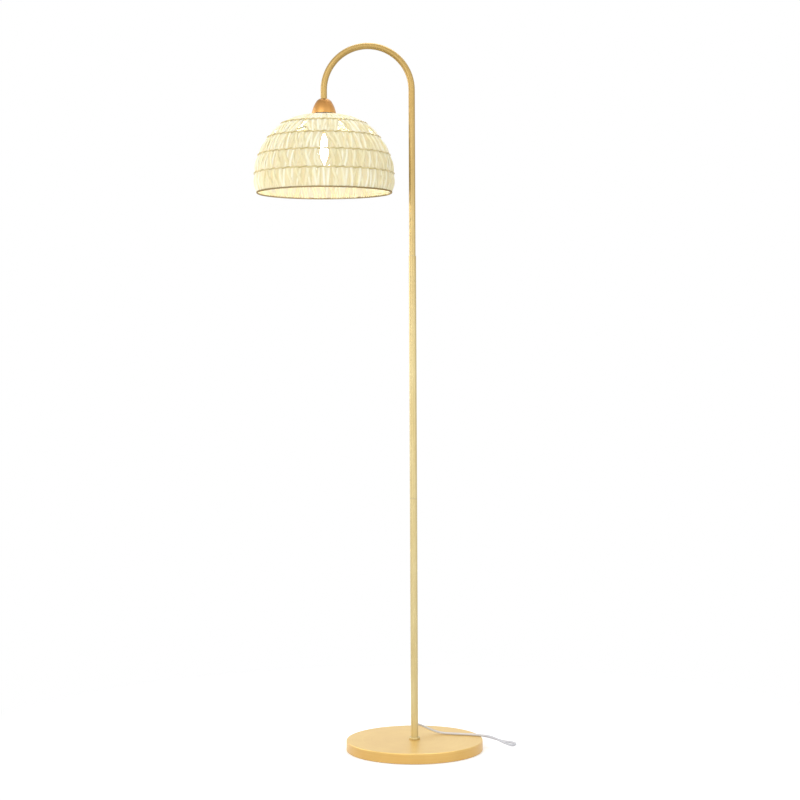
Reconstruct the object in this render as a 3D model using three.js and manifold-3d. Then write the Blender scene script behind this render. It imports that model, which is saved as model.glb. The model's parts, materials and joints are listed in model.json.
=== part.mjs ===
// Floor lamp with a bent pole, a round weighted base and a woven cane dome shade.
// Millimetres, +Z up. The origin is the centre of the base's underside, on the floor.
// The pole stands on the Z axis. The shade hangs on the -X side, and the spare cord lies on the +Y side.
import * as THREE from 'three';
import { mergeVertices } from 'three/addons/utils/BufferGeometryUtils.js';
import Module from 'manifold-3d';

const wasm = await Module();
wasm.setup();

// Driving dimensions of the whole lamp
const lampHeight = 1551;
const baseRadius = 150;
const baseHeight = 23;
const poleRadius = 8;
const archTubeRadius = 7;
const archRadius = 96;
const archJointHeight = 1086;
const poleJointHeight = 554;

// Shared walls and clearances
const tubeWall = 1.2;
const clearance = 0.3;
const faceGap = 0.3;
const cutOverrun = 2;
const mergeDistance = 1e-4;

// Counts of sides, which set only how fine the solids are
const wideSides = 48;
const shadeSides = 32;
const hiddenSides = 24;
const turnedSides = 20;
const wireSides = 8;
const smallSides = 12;
const hexSides = 6;
const archTubeSides = 12;
const archTubeSteps = 34;
const runSteps = 42;
const tailSteps = 8;
const cornerSteps = 3;

// Base
const padInset = 4;
const padThickness = 1.8;
const coverWall = 1.2;
const coverLift = 0.8;
const coverEdgeRadius = 2;
const coverEdgeSteps = 2;
const boltRadius = 4;
const boltHeadRadius = 7.5;
const boltHeadHeight = 5.3;
const washerRadius = 12;
const washerThickness = 1.6;
const boltPocketRadius = 16;
const boltPocketDepth = 10;
const collarRadius = 12;
const collarHeight = 5;
const collarChamfer = 1.2;
const bushHeight = 13;
const boltEngagement = 12;

// Pole joints
const joinerHalf = 22;
const joinerBoreRadius = 4;

// Arch end and bell cap
const archStraightEnd = 19;
const capTopRadius = 10;
const capMouthRadius = 27;
const capDrop = 32;
const capWall = 2;
const capTopWall = 3;
const nippleRadius = 5;
const nippleBoreRadius = 3.4;
const nippleSpigotLength = 14;
const nippleReach = 6;
// The bell's outline: shares of its drop, and of the way from its top radius to its mouth radius
const bellDropShares = [0, 0.12, 0.3, 0.55, 0.8, 1];
const bellSwellShares = [0, 0.3, 0.53, 0.76, 0.91, 1];
const bellInnerStart = 2;
const lockNutRadius = 8;
const lockNutHeight = 3;

// Lampholder
const holderRadius = 19;
const holderWall = 2;
const holderHeight = 41;
const holderCapHeight = 17;
const holderCapNeckRadius = 9;
const holderNeckGap = 7;
const holderFlangeRadius = 22.5;
const holderFlangeHeight = 2;
const holderFlangeDrop = 19.5;
const insertHeight = 17;
const threadShellRadius = 14.3;
const threadShellWall = 0.5;
const threadShellHeight = 22;
const contactRadius = 3;
const contactHeight = 2.2;
const keyShaftRadius = 1.8;
const keyShaftLength = 11;
const keyShaftDrop = 13;
const keyKnobRadius = 4.6;
const keyKnobLength = 11;
const keyKnobSides = 10;
const keySeatDepth = 3;

// Shade carrier
const spiderRingWidth = 5;
const spiderThickness = 2;
const armRadius = 1.5;
const armCount = 4;
const ringNutHeight = 10;
const ringNutFlangeHeight = 3;
const ringNutBodyRadius = 22;
const ringNutGripCount = 12;
const ringNutGripRadius = 1.2;

// Shade: each hoop's drop below the bell cap's top and its radius, top to bottom, at the middle of its cane
const hoopCaneRadius = 2.5;
const hoopNames = ['crown_hoop', 'hoop_1', 'hoop_2', 'hoop_3', 'rim_hoop'];
const hoopDrops = [55, 85, 123, 163, 204];
const hoopRadii = [92, 121.5, 142.5, 151, 146.5];
const tierNames = ['weave_tier_1', 'weave_tier_2', 'weave_tier_3', 'weave_tier_4'];
const tierBulges = [2.2, 2.6, 3, 4];
const tierSteps = 3;
const weaveThickness = 3;
// The first tier's three-cornered openings, wide side down: their ends as shares of the way down the tier
const openingCount = 8;
const openingWidth = 22;
const openingTopShare = 0.18;
const openingBottomShare = 0.88;
const crownMouthRadius = 28;
// The crown's outline between its mouth and its hoop: shares of the way out, and of the way down
const crownOutShares = [0, 0.42, 0.74, 1];
const crownDownShares = [0, 0.22, 0.55, 1];

// Bulb
const bulbRadius = 27.5;
const bulbLength = 98;
const bulbNeckRadius = 12.4;
const bulbGlassWall = 1;
const bulbSphereSteps = 6;
const bulbSphereShare = 0.62;
const bulbDrawInShares = [0.3, 0.6, 1];
const bulbCapRadius = 13.2;
const bulbCapHeight = 22;
const bulbInsulatorHeight = 3.4;
const bulbInsulatorTopRadius = 5.6;
const bulbTipRadius = 4.4;
const bulbTipHeight = 1.6;
const bulbCapRim = 1.2;
const bulbNeckSeat = 8;

// Cord
const cordRadius = 2.5;
const cordSides = 8;
const hankSides = 6;
const cordExitHeight = 48;
const cordExitAngle = THREE.MathUtils.degToRad(90);
const exitHoleRadius = 3.9;
const innerCordBend = 9;
const innerCordShift = 40;
const innerCordBendSteps = 6;
const innerCordStraightStep = 170;
const innerCordArchSteps = 18;
const reliefLength = 22;
const reliefFlangeRadius = 5.4;
const reliefFlangeThickness = 1.6;
const reliefRootRadius = 4.2;
const reliefTipRadius = 3.1;
const reliefStubRadius = 3.5;

// Hank of spare cord: loops per layer, inner fold radius, run length, step between turns and layers
const hankLoops = 2;
const hankFoldRadius = 15;
const hankRun = 70;
const hankStep = 5.65;
const hankLayerStep = 5.6;
const hankWaistPull = 5;
const hankLoopSteps = 24;
const hankGapSamples = 1200;
const hankSetBack = 178.4;
const tieWidth = 9;
const tieThickness = 0.8;

// Plug
const plugBodyLength = 26;
const plugBodyWidth = 22;
const plugBodyHeight = 14;
const plugCorner = 4;
const plugEdge = 1;
const plugReliefLength = 16;
const plugReliefRootRadius = 4.6;
const bladeLength = 17;
const bladeInset = 6;
const bladeWidth = 6.3;
const bladeThickness = 1.5;
const bladeSpacing = 12.7;

// Places worked out from the sizes above
const shadeX = -2 * archRadius;
const archCentreHeight = lampHeight - archTubeRadius - archRadius;
const padRadius = baseRadius - padInset;
const capTopHeight = archCentreHeight - archStraightEnd;
const hoopHeights = hoopDrops.map((drop) => capTopHeight - drop);
const poleFoot = baseHeight + faceGap;
const capMouthHeight = capTopHeight - capDrop;
const lockNutBottom = capTopHeight - capTopWall - faceGap - lockNutHeight;
const holderTop = lockNutBottom - holderNeckGap - holderCapHeight - faceGap;
const nippleBottom = lockNutBottom - holderNeckGap - nippleReach;
const holderMouth = holderTop - holderHeight;
const flangeUnderside = holderTop - holderFlangeDrop - holderFlangeHeight;
const insertBottom = holderTop - faceGap - insertHeight;
const contactBottom = insertBottom - faceGap - contactHeight;
const bulbTipTop = contactBottom - faceGap;
const hoopCount = hoopNames.length;

// Solid helpers

function toManifold(geometry) {
  const bare = geometry.clone();
  bare.deleteAttribute('normal');
  bare.deleteAttribute('uv');
  const merged = mergeVertices(bare, mergeDistance);
  const mesh = new wasm.Mesh({
    numProp: 3,
    vertProperties: new Float32Array(merged.attributes.position.array),
    triVerts: new Uint32Array(merged.index.array),
  });
  return new wasm.Manifold(mesh);
}

function toGeometry(solid) {
  const mesh = solid.getMesh();
  const geometry = new THREE.BufferGeometry();
  const positions = new Float32Array((mesh.vertProperties.length / mesh.numProp) * 3);
  for (let i = 0; i < positions.length / 3; i += 1) {
    for (let k = 0; k < 3; k += 1) {
      positions[3 * i + k] = mesh.vertProperties[mesh.numProp * i + k];
    }
  }
  geometry.setAttribute('position', new THREE.BufferAttribute(positions, 3));
  geometry.setIndex(new THREE.BufferAttribute(new Uint32Array(mesh.triVerts), 1));
  return geometry;
}

function joined(geometries) {
  let solid = toManifold(geometries[0]);
  for (const geometry of geometries.slice(1)) {
    solid = solid.add(toManifold(geometry));
  }
  return toGeometry(solid);
}

function cut(geometry, cutters) {
  let solid = toManifold(geometry);
  for (const cutter of cutters) {
    solid = solid.subtract(toManifold(cutter));
  }
  return toGeometry(solid);
}

// A turned solid about Z. The outline is [radius, height] pairs round the section, going up on the outside.
function turned(outline, sides = turnedSides) {
  const points = outline.map(([radius, height]) => new THREE.Vector2(radius, height));
  const onAxis = outline[0][0] === 0 && outline[outline.length - 1][0] === 0;
  if (!onAxis) {
    points.push(points[0].clone());
  }
  const geometry = new THREE.LatheGeometry(points, sides);
  geometry.rotateX(Math.PI / 2);
  return geometry;
}

// A plain turned disc between two heights
function disc(radius, bottom, top, sides = turnedSides) {
  return turned([[0, bottom], [radius, bottom], [radius, top], [0, top]], sides);
}

// A plain turned ring between two heights
function ring(innerRadius, outerRadius, bottom, top, sides = turnedSides) {
  const outline = [[innerRadius, bottom], [outerRadius, bottom], [outerRadius, top], [innerRadius, top]];
  return turned(outline, sides);
}

// A cylinder between two points
function rod(from, to, radius, sides = wireSides) {
  const along = new THREE.Vector3().subVectors(to, from);
  const geometry = new THREE.CylinderGeometry(radius, radius, along.length(), sides);
  const upright = new THREE.Vector3(0, 1, 0);
  const turn = new THREE.Quaternion().setFromUnitVectors(upright, along.normalize());
  geometry.applyQuaternion(turn);
  geometry.translate((from.x + to.x) / 2, (from.y + to.y) / 2, (from.z + to.z) / 2);
  return geometry;
}

function circleShape(radius, sides) {
  const points = [];
  for (let i = 0; i < sides; i += 1) {
    const angle = (2 * Math.PI * i) / sides;
    points.push(new THREE.Vector2(radius * Math.cos(angle), radius * Math.sin(angle)));
  }
  return new THREE.Shape(points);
}

// A tube along a curve, solid or with a bore
function tubeAlong(curve, steps, radius, sides, boreRadius = 0) {
  const shape = circleShape(radius, sides);
  if (boreRadius > 0) {
    shape.holes.push(new THREE.Path(circleShape(boreRadius, sides).getPoints().reverse()));
  }
  return new THREE.ExtrudeGeometry(shape, { steps, bevelEnabled: false, extrudePath: curve });
}

const lamp = new THREE.Group();

const finishes = {
  brassTube: { color: 0xd9b066, roughness: 0.3, metalness: 0.9 },
  brassBase: { color: 0xe2be84, roughness: 0.35, metalness: 0.85 },
  capBrass: { color: 0xc98f4e, roughness: 0.35, metalness: 0.8 },
  brass: { color: 0xc9a45a, roughness: 0.35, metalness: 0.9 },
  zincSteel: { color: 0xb4b7ba, roughness: 0.4, metalness: 0.9 },
  concrete: { color: 0x8f8d88, roughness: 0.95, metalness: 0 },
  foam: { color: 0x2b2b2b, roughness: 0.9, metalness: 0 },
  holderPlastic: { color: 0x2a2826, roughness: 0.5, metalness: 0 },
  porcelain: { color: 0xf1efe8, roughness: 0.3, metalness: 0 },
  cane: { color: 0xe9dcae, roughness: 0.7, metalness: 0 },
  caneDark: { color: 0xc9b483, roughness: 0.7, metalness: 0 },
  opalGlass: { color: 0xfffaf0, roughness: 0.3, metalness: 0 },
  cordPlastic: { color: 0xc9cacc, roughness: 0.5, metalness: 0 },
};

function place(name, geometry, finish, parent = lamp) {
  const mesh = new THREE.Mesh(geometry, new THREE.MeshStandardMaterial(finishes[finish]));
  mesh.name = name;
  parent.add(mesh);
  return mesh;
}

// Base

function basePad() {
  return disc(padRadius, 0, padThickness, hiddenSides);
}

function baseWeight() {
  const bottom = padThickness + faceGap;
  const top = baseHeight - coverWall - faceGap;
  const radius = baseRadius - coverWall - clearance;
  const bore = boltRadius + clearance;
  const pocketTop = bottom + boltPocketDepth;
  const outline = [
    [boltPocketRadius, bottom],
    [radius, bottom],
    [radius, top],
    [bore, top],
    [bore, pocketTop],
    [boltPocketRadius, pocketTop],
  ];
  return turned(outline, hiddenSides);
}

function baseCover() {
  const inner = baseRadius - coverWall;
  const ceiling = baseHeight - coverWall;
  const hole = boltRadius + clearance;
  const outline = [[inner, coverLift], [baseRadius, coverLift]];
  for (let i = 0; i <= coverEdgeSteps; i += 1) {
    const angle = (Math.PI / 2) * (i / coverEdgeSteps);
    outline.push([
      baseRadius - coverEdgeRadius * (1 - Math.cos(angle)),
      baseHeight - coverEdgeRadius * (1 - Math.sin(angle)),
    ]);
  }
  outline.push([hole, baseHeight], [hole, ceiling], [inner, ceiling]);
  return turned(outline, wideSides);
}

const washerTop = padThickness + boltPocketDepth;
const boltHeadTop = washerTop - washerThickness - faceGap;

function baseWasher() {
  return ring(boltRadius + clearance, washerRadius, washerTop - washerThickness, washerTop);
}

function baseBolt() {
  const head = new THREE.CylinderGeometry(boltHeadRadius, boltHeadRadius, boltHeadHeight, hexSides);
  head.rotateX(Math.PI / 2);
  head.translate(0, 0, boltHeadTop - boltHeadHeight / 2);
  const shankTop = poleFoot + boltEngagement;
  const shankBottom = boltHeadTop - boltHeadHeight / 2;
  const shank = disc(boltRadius, shankBottom, shankTop);
  return joined([head, shank]);
}

function poleCollar() {
  const inner = poleRadius + clearance;
  const top = poleFoot + collarHeight;
  return turned([
    [inner, poleFoot],
    [collarRadius, poleFoot],
    [collarRadius, top - collarChamfer],
    [collarRadius - collarChamfer, top],
    [inner, top],
  ]);
}

place('base_pad', basePad(), 'foam');
place('base_weight', baseWeight(), 'concrete');
place('base_cover', baseCover(), 'brassBase');
place('base_washer', baseWasher(), 'zincSteel');
place('base_bolt', baseBolt(), 'zincSteel');
place('pole_collar', poleCollar(), 'brassTube');

// Pole

const poleBore = poleRadius - tubeWall;
const archBore = archTubeRadius - tubeWall;
const exitDirection = new THREE.Vector3(Math.cos(cordExitAngle), Math.sin(cordExitAngle), 0);
const exitCentre = new THREE.Vector3(0, 0, cordExitHeight);

function alongExit(distance, height = cordExitHeight) {
  return new THREE.Vector3(exitDirection.x * distance, exitDirection.y * distance, height);
}

function poleLower() {
  const tube = ring(poleBore, poleRadius, poleFoot, poleJointHeight - faceGap / 2);
  const hole = rod(exitCentre, alongExit(poleRadius + cutOverrun), exitHoleRadius, smallSides);
  return cut(tube, [hole]);
}

function poleMiddle() {
  return ring(poleBore, poleRadius, poleJointHeight + faceGap / 2, archJointHeight - faceGap / 2);
}

function poleFootBush() {
  return ring(boltRadius + clearance, poleBore - clearance, poleFoot, poleFoot + bushHeight);
}

function poleJoiner() {
  const radius = poleBore - clearance;
  return ring(joinerBoreRadius, radius, poleJointHeight - joinerHalf, poleJointHeight + joinerHalf);
}

function archJoiner() {
  const wide = poleBore - clearance;
  const slim = archBore - clearance;
  const shoulder = archJointHeight - faceGap / 2;
  return turned([
    [joinerBoreRadius, archJointHeight - joinerHalf],
    [wide, archJointHeight - joinerHalf],
    [wide, shoulder],
    [slim, shoulder],
    [slim, archJointHeight + joinerHalf],
    [joinerBoreRadius, archJointHeight + joinerHalf],
  ]);
}

// The line of the bent tube: up from one height, over the half circle, and down to another
function archLine(startHeight, endHeight) {
  const line = new THREE.CurvePath();
  const riseTop = new THREE.Vector3(0, 0, archCentreHeight);
  const fallTop = new THREE.Vector3(shadeX, 0, archCentreHeight);
  line.add(new THREE.LineCurve3(new THREE.Vector3(0, 0, startHeight), riseTop));
  line.add(new HalfCircle(riseTop, fallTop));
  line.add(new THREE.LineCurve3(fallTop, new THREE.Vector3(shadeX, 0, endHeight)));
  return line;
}

// Half a circle standing over the straight line between two points of one height
class HalfCircle extends THREE.Curve {
  constructor(from, to) {
    super();
    this.from = from;
    this.to = to;
  }

  getPoint(share, target = new THREE.Vector3()) {
    const angle = Math.PI * share;
    const middle = new THREE.Vector3().addVectors(this.from, this.to).multiplyScalar(0.5);
    const radius = this.from.distanceTo(this.to) / 2;
    return target.set(middle.x + radius * Math.cos(angle), middle.y, middle.z + radius * Math.sin(angle));
  }
}

function archTube() {
  const line = archLine(archJointHeight + faceGap / 2, capTopHeight + faceGap);
  return tubeAlong(line, archTubeSteps, archTubeRadius, archTubeSides, archBore);
}

place('pole_foot_bush', poleFootBush(), 'zincSteel');
place('pole_lower', poleLower(), 'brassTube');
place('pole_joiner', poleJoiner(), 'zincSteel');
place('pole_middle', poleMiddle(), 'brassTube');
place('arch_joiner', archJoiner(), 'zincSteel');
place('arch_tube', archTube(), 'brassTube');

// Everything below hangs on the shade's axis
const shadeGroup = new THREE.Group();
shadeGroup.position.x = shadeX;
lamp.add(shadeGroup);

function placeOnShade(name, geometry, finish) {
  return place(name, geometry, finish, shadeGroup);
}

// Arch end, bell cap and lock nut

function archEndNipple() {
  const shoulder = capTopHeight + faceGap;
  return turned([
    [nippleBoreRadius, nippleBottom],
    [nippleRadius, nippleBottom],
    [nippleRadius, shoulder],
    [archBore - clearance, shoulder],
    [archBore - clearance, shoulder + nippleSpigotLength],
    [nippleBoreRadius, shoulder + nippleSpigotLength],
  ]);
}

function bellCap() {
  const hole = nippleRadius + clearance;
  const outline = [];
  for (let i = bellDropShares.length - 1; i >= 0; i -= 1) {
    const radius = capTopRadius + (capMouthRadius - capTopRadius) * bellSwellShares[i];
    outline.push([radius, capTopHeight - capDrop * bellDropShares[i]]);
  }
  outline.push([hole, capTopHeight]);
  outline.push([hole, capTopHeight - capTopWall]);
  outline.push([lockNutRadius + clearance, capTopHeight - capTopWall]);
  for (let i = bellInnerStart; i < bellDropShares.length; i += 1) {
    const radius = capTopRadius + (capMouthRadius - capTopRadius) * bellSwellShares[i] - capWall;
    outline.push([radius, capTopHeight - capDrop * bellDropShares[i]]);
  }
  return turned(outline, hiddenSides);
}

function capLockNut() {
  const nut = new THREE.CylinderGeometry(lockNutRadius, lockNutRadius, lockNutHeight, hexSides);
  nut.rotateX(Math.PI / 2);
  nut.translate(0, 0, lockNutBottom + lockNutHeight / 2);
  const lockNutTop = lockNutBottom + lockNutHeight;
  const bore = disc(nippleRadius + clearance, lockNutBottom - cutOverrun, lockNutTop + cutOverrun);
  return cut(nut, [bore]);
}

placeOnShade('arch_end_nipple', archEndNipple(), 'brass');
placeOnShade('shade_cap', bellCap(), 'capBrass');
placeOnShade('cap_lock_nut', capLockNut(), 'zincSteel');

// Lampholder

const holderBore = holderRadius - holderWall;
const keyHeight = holderTop - keyShaftDrop;

function holderCap() {
  const bottom = holderTop + faceGap;
  const top = bottom + holderCapHeight;
  const hole = nippleRadius + clearance;
  const shoulder = bottom + holderCapHeight / 2;
  const neck = top - holderWall;
  return turned([
    [holderBore, bottom],
    [holderRadius, bottom],
    [holderRadius, shoulder],
    [holderCapNeckRadius, top],
    [hole, top],
    [hole, neck - holderWall],
    [holderCapNeckRadius - holderWall, neck - holderWall],
    [holderBore, shoulder],
  ]);
}

function keyLine(fromRadius, toRadius, radius, sides) {
  const from = new THREE.Vector3(0, -fromRadius, keyHeight);
  const to = new THREE.Vector3(0, -toRadius, keyHeight);
  return rod(from, to, radius, sides);
}

function holderBody() {
  const flangeTop = flangeUnderside + holderFlangeHeight;
  const shell = turned([
    [holderBore, holderMouth],
    [holderRadius, holderMouth],
    [holderRadius, flangeUnderside],
    [holderFlangeRadius, flangeUnderside],
    [holderFlangeRadius, flangeTop],
    [holderRadius, flangeTop],
    [holderRadius, holderTop],
    [holderBore, holderTop],
  ]);
  const holeRadius = keyShaftRadius + clearance;
  const keyHole = keyLine(holderBore - cutOverrun, holderRadius + cutOverrun, holeRadius, smallSides);
  return cut(shell, [keyHole]);
}

function holderInsert() {
  const radius = holderBore - clearance;
  const block = disc(radius, insertBottom, holderTop - faceGap);
  const seatRadius = keyShaftRadius + clearance;
  const keySeat = keyLine(radius - keySeatDepth - clearance, radius + cutOverrun, seatRadius, smallSides);
  return cut(block, [keySeat]);
}

function holderThreadShell() {
  const top = insertBottom - faceGap;
  return ring(threadShellRadius - threadShellWall, threadShellRadius, top - threadShellHeight, top);
}

function holderContact() {
  return disc(contactRadius, contactBottom, contactBottom + contactHeight);
}

function holderKey() {
  const inner = holderBore - clearance - keySeatDepth;
  const knobStart = inner + keyShaftLength;
  const shaft = keyLine(inner, knobStart + keyKnobLength / 2, keyShaftRadius, smallSides);
  const knob = keyLine(knobStart, knobStart + keyKnobLength, keyKnobRadius, keyKnobSides);
  return joined([shaft, knob]);
}

placeOnShade('holder_cap', holderCap(), 'holderPlastic');
placeOnShade('holder_body', holderBody(), 'holderPlastic');
placeOnShade('holder_insert', holderInsert(), 'porcelain');
placeOnShade('holder_thread_shell', holderThreadShell(), 'brass');
placeOnShade('holder_contact', holderContact(), 'brass');
placeOnShade('holder_switch_key', holderKey(), 'holderPlastic');

// Shade carrier: a ring clamped under the holder's flange, with arms out to the crown hoop

const spiderTop = flangeUnderside - faceGap;
const spiderInner = holderRadius + clearance;
const spiderOuter = spiderInner + spiderRingWidth;
const crownEdgeRadius = hoopRadii[0] - hoopCaneRadius - clearance;
const crownEdgeHeight = hoopHeights[0] + hoopCaneRadius;

function shadeSpider() {
  const armHeight = spiderTop - spiderThickness + armRadius;
  const parts = [ring(spiderInner, spiderOuter, spiderTop - spiderThickness, spiderTop)];
  const start = spiderOuter - armRadius / 2;
  const endHeight = crownEdgeHeight - weaveThickness - clearance - armRadius;
  for (let i = 0; i < armCount; i += 1) {
    const angle = (2 * Math.PI * (i + 0.5)) / armCount;
    const outward = new THREE.Vector3(Math.cos(angle), Math.sin(angle), 0);
    const from = outward.clone().multiplyScalar(start).setZ(armHeight);
    const to = outward.clone().multiplyScalar(crownEdgeRadius).setZ(endHeight);
    parts.push(rod(from, to, armRadius));
  }
  return joined(parts);
}

function shadeRingNut() {
  const inner = holderRadius + clearance;
  const top = spiderTop - spiderThickness - faceGap;
  const bottom = top - ringNutHeight;
  const body = turned([
    [inner, bottom],
    [ringNutBodyRadius, bottom],
    [ringNutBodyRadius, top - ringNutFlangeHeight],
    [spiderOuter, top - ringNutFlangeHeight],
    [spiderOuter, top],
    [inner, top],
  ]);
  const parts = [body];
  for (let i = 0; i < ringNutGripCount; i += 1) {
    const angle = (2 * Math.PI * (i + 0.5)) / ringNutGripCount;
    const x = ringNutBodyRadius * Math.cos(angle);
    const y = ringNutBodyRadius * Math.sin(angle);
    const foot = new THREE.Vector3(x, y, bottom);
    const head = new THREE.Vector3(x, y, top - ringNutFlangeHeight / 2);
    parts.push(rod(foot, head, ringNutGripRadius, hexSides));
  }
  return joined(parts);
}

placeOnShade('shade_spider', shadeSpider(), 'zincSteel');
placeOnShade('shade_ring_nut', shadeRingNut(), 'holderPlastic');

// Shade

function hoop(index) {
  const outline = [];
  for (let i = 0; i < hexSides; i += 1) {
    const angle = (2 * Math.PI * i) / hexSides;
    outline.push([
      hoopRadii[index] + hoopCaneRadius * Math.cos(angle),
      hoopHeights[index] + hoopCaneRadius * Math.sin(angle),
    ]);
  }
  return turned(outline, shadeSides);
}

// A woven band's outer outline is offset inward by its thickness, square to the band's own line
function band(outer, sides) {
  const first = new THREE.Vector2(...outer[0]);
  const last = new THREE.Vector2(...outer[outer.length - 1]);
  const along = new THREE.Vector2().subVectors(last, first).normalize();
  const inward = new THREE.Vector2(along.y, -along.x);
  const inner = outer.map(([radius, height]) => [
    radius + inward.x * weaveThickness,
    height + inward.y * weaveThickness,
  ]);
  return turned([...outer.slice().reverse(), ...inner], sides);
}

// A tier's outer line runs from its upper hoop to its lower hoop, clear of both canes
function tierLine(index) {
  const upper = new THREE.Vector2(hoopRadii[index], hoopHeights[index]);
  const lower = new THREE.Vector2(hoopRadii[index + 1], hoopHeights[index + 1]);
  const along = new THREE.Vector2().subVectors(lower, upper).normalize();
  const outward = new THREE.Vector2(-along.y, along.x);
  const trim = hoopCaneRadius + clearance;
  const from = upper.clone().addScaledVector(along, trim).addScaledVector(outward, weaveThickness / 2);
  const to = lower.clone().addScaledVector(along, -trim).addScaledVector(outward, weaveThickness / 2);
  return { from, to, along, outward };
}

function weaveTier(index) {
  const { from, to, outward } = tierLine(index);
  const outer = [];
  for (let i = 0; i <= tierSteps; i += 1) {
    const share = i / tierSteps;
    const bulge = tierBulges[index] * 4 * share * (1 - share);
    const point = from.clone().lerp(to, share).addScaledVector(outward, bulge);
    outer.push([point.x, point.y]);
  }
  return band(outer, shadeSides);
}

// A three-cornered cutter that stands through a tier's wall: across, down the tier, and outward
function tierOpening(index, angle) {
  const { from, to, along, outward } = tierLine(index);
  const length = from.distanceTo(to);
  const shape = new THREE.Shape([
    new THREE.Vector2(0, length * openingTopShare),
    new THREE.Vector2(openingWidth / 2, length * openingBottomShare),
    new THREE.Vector2(-openingWidth / 2, length * openingBottomShare),
  ]);
  const reach = tierBulges[index] + weaveThickness + cutOverrun;
  const geometry = new THREE.ExtrudeGeometry(shape, { depth: 2 * reach, bevelEnabled: false });
  geometry.translate(0, 0, -reach);
  const stand = new THREE.Matrix4().makeBasis(
    new THREE.Vector3(0, -1, 0),
    new THREE.Vector3(along.x, 0, along.y),
    new THREE.Vector3(outward.x, 0, outward.y),
  );
  stand.setPosition(from.x, 0, from.y);
  geometry.applyMatrix4(stand);
  geometry.rotateZ(angle);
  return geometry;
}

function openTier(index) {
  const cutters = [];
  for (let i = 0; i < openingCount; i += 1) {
    cutters.push(tierOpening(index, (2 * Math.PI * (i + 1 / 2)) / openingCount));
  }
  return cut(weaveTier(index), cutters);
}

function weaveCrown() {
  const top = capMouthHeight - faceGap;
  const outer = crownOutShares.map((share, i) => [
    crownMouthRadius + (crownEdgeRadius - crownMouthRadius) * share,
    top + (crownEdgeHeight - top) * crownDownShares[i],
  ]);
  const inner = outer.map(([radius, height]) => [radius, height - weaveThickness]);
  return turned([...outer.slice().reverse(), ...inner], shadeSides);
}

placeOnShade('weave_crown', weaveCrown(), 'cane');
placeOnShade(tierNames[0], openTier(0), 'cane');
for (let i = 1; i < tierNames.length; i += 1) {
  placeOnShade(tierNames[i], weaveTier(i), 'cane');
}
for (let i = 0; i < hoopCount; i += 1) {
  placeOnShade(hoopNames[i], hoop(i), 'caneDark');
}

// Bulb: tip up, glass down

const bulbCapTop = bulbTipTop - bulbTipHeight - bulbInsulatorHeight;
const bulbCapBottom = bulbCapTop - bulbCapHeight;
const bulbGlassTop = bulbCapBottom + bulbNeckSeat;
const bulbBottom = bulbTipTop - bulbLength;
const bulbCentre = bulbBottom + bulbRadius;

// The glass outline: half a sphere and more, then a smooth draw-in to the neck. Offset moves it inward.
function glassOutline(offset) {
  const points = [];
  const radius = bulbRadius - offset;
  const sphereEnd = Math.PI * bulbSphereShare;
  for (let i = 0; i <= bulbSphereSteps; i += 1) {
    const angle = (sphereEnd * i) / bulbSphereSteps;
    points.push([radius * Math.sin(angle), bulbCentre - radius * Math.cos(angle)]);
  }
  const [edgeRadius, edgeHeight] = points[points.length - 1];
  const neck = bulbNeckRadius - offset;
  const rise = bulbCapBottom - clearance - edgeHeight;
  for (const share of bulbDrawInShares) {
    const drawIn = Math.sin((share * Math.PI) / 2);
    points.push([edgeRadius + (neck - edgeRadius) * drawIn, edgeHeight + rise * share]);
  }
  points.push([neck, bulbGlassTop]);
  return points;
}

function bulbGlass() {
  const outer = glassOutline(0);
  const inner = glassOutline(bulbGlassWall);
  return turned([...outer, ...inner.reverse()], turnedSides);
}

function bulbScrewCap() {
  const bore = bulbNeckRadius + clearance;
  const wall = bulbCapRadius - bulbCapRim;
  return turned([
    [bore, bulbCapBottom],
    [bulbCapRadius, bulbCapBottom],
    [bulbCapRadius, bulbCapTop - bulbCapRim],
    [wall, bulbCapTop],
    [bulbInsulatorTopRadius + clearance, bulbCapTop],
    [bulbInsulatorTopRadius + clearance, bulbCapTop - bulbCapRim],
    [wall - bulbCapRim, bulbCapTop - 2 * bulbCapRim],
    [bore - bulbCapRim, bulbGlassTop + faceGap],
    [bore, bulbGlassTop + faceGap],
  ]);
}

function bulbInsulator() {
  const bottom = bulbCapTop + faceGap;
  const top = bottom + bulbInsulatorHeight - 2 * faceGap;
  const wide = bulbCapRadius - 2 * bulbCapRim;
  return turned([[0, bottom], [wide, bottom], [bulbInsulatorTopRadius, top], [0, top]]);
}

function bulbTip() {
  const bottom = bulbTipTop - bulbTipHeight;
  return turned([[0, bottom], [bulbTipRadius, bottom], [bulbTipRadius / 2, bulbTipTop], [0, bulbTipTop]]);
}

placeOnShade('bulb_glass', bulbGlass(), 'opalGlass');
placeOnShade('bulb_screw_cap', bulbScrewCap(), 'brass');
placeOnShade('bulb_insulator', bulbInsulator(), 'holderPlastic');
placeOnShade('bulb_tip', bulbTip(), 'brass');

// Cord held inside the pole and the arch

// A quarter turn from straight down to straight out along the exit
class ExitBend extends THREE.Curve {
  getPoint(share, target = new THREE.Vector3()) {
    const angle = (Math.PI / 2) * share;
    const start = -(poleBore - clearance - cordRadius);
    const out = start + innerCordBend * (1 - Math.cos(angle));
    const height = cordExitHeight + innerCordBend * (1 - Math.sin(angle));
    return target.copy(alongExit(out, height));
  }
}

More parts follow.
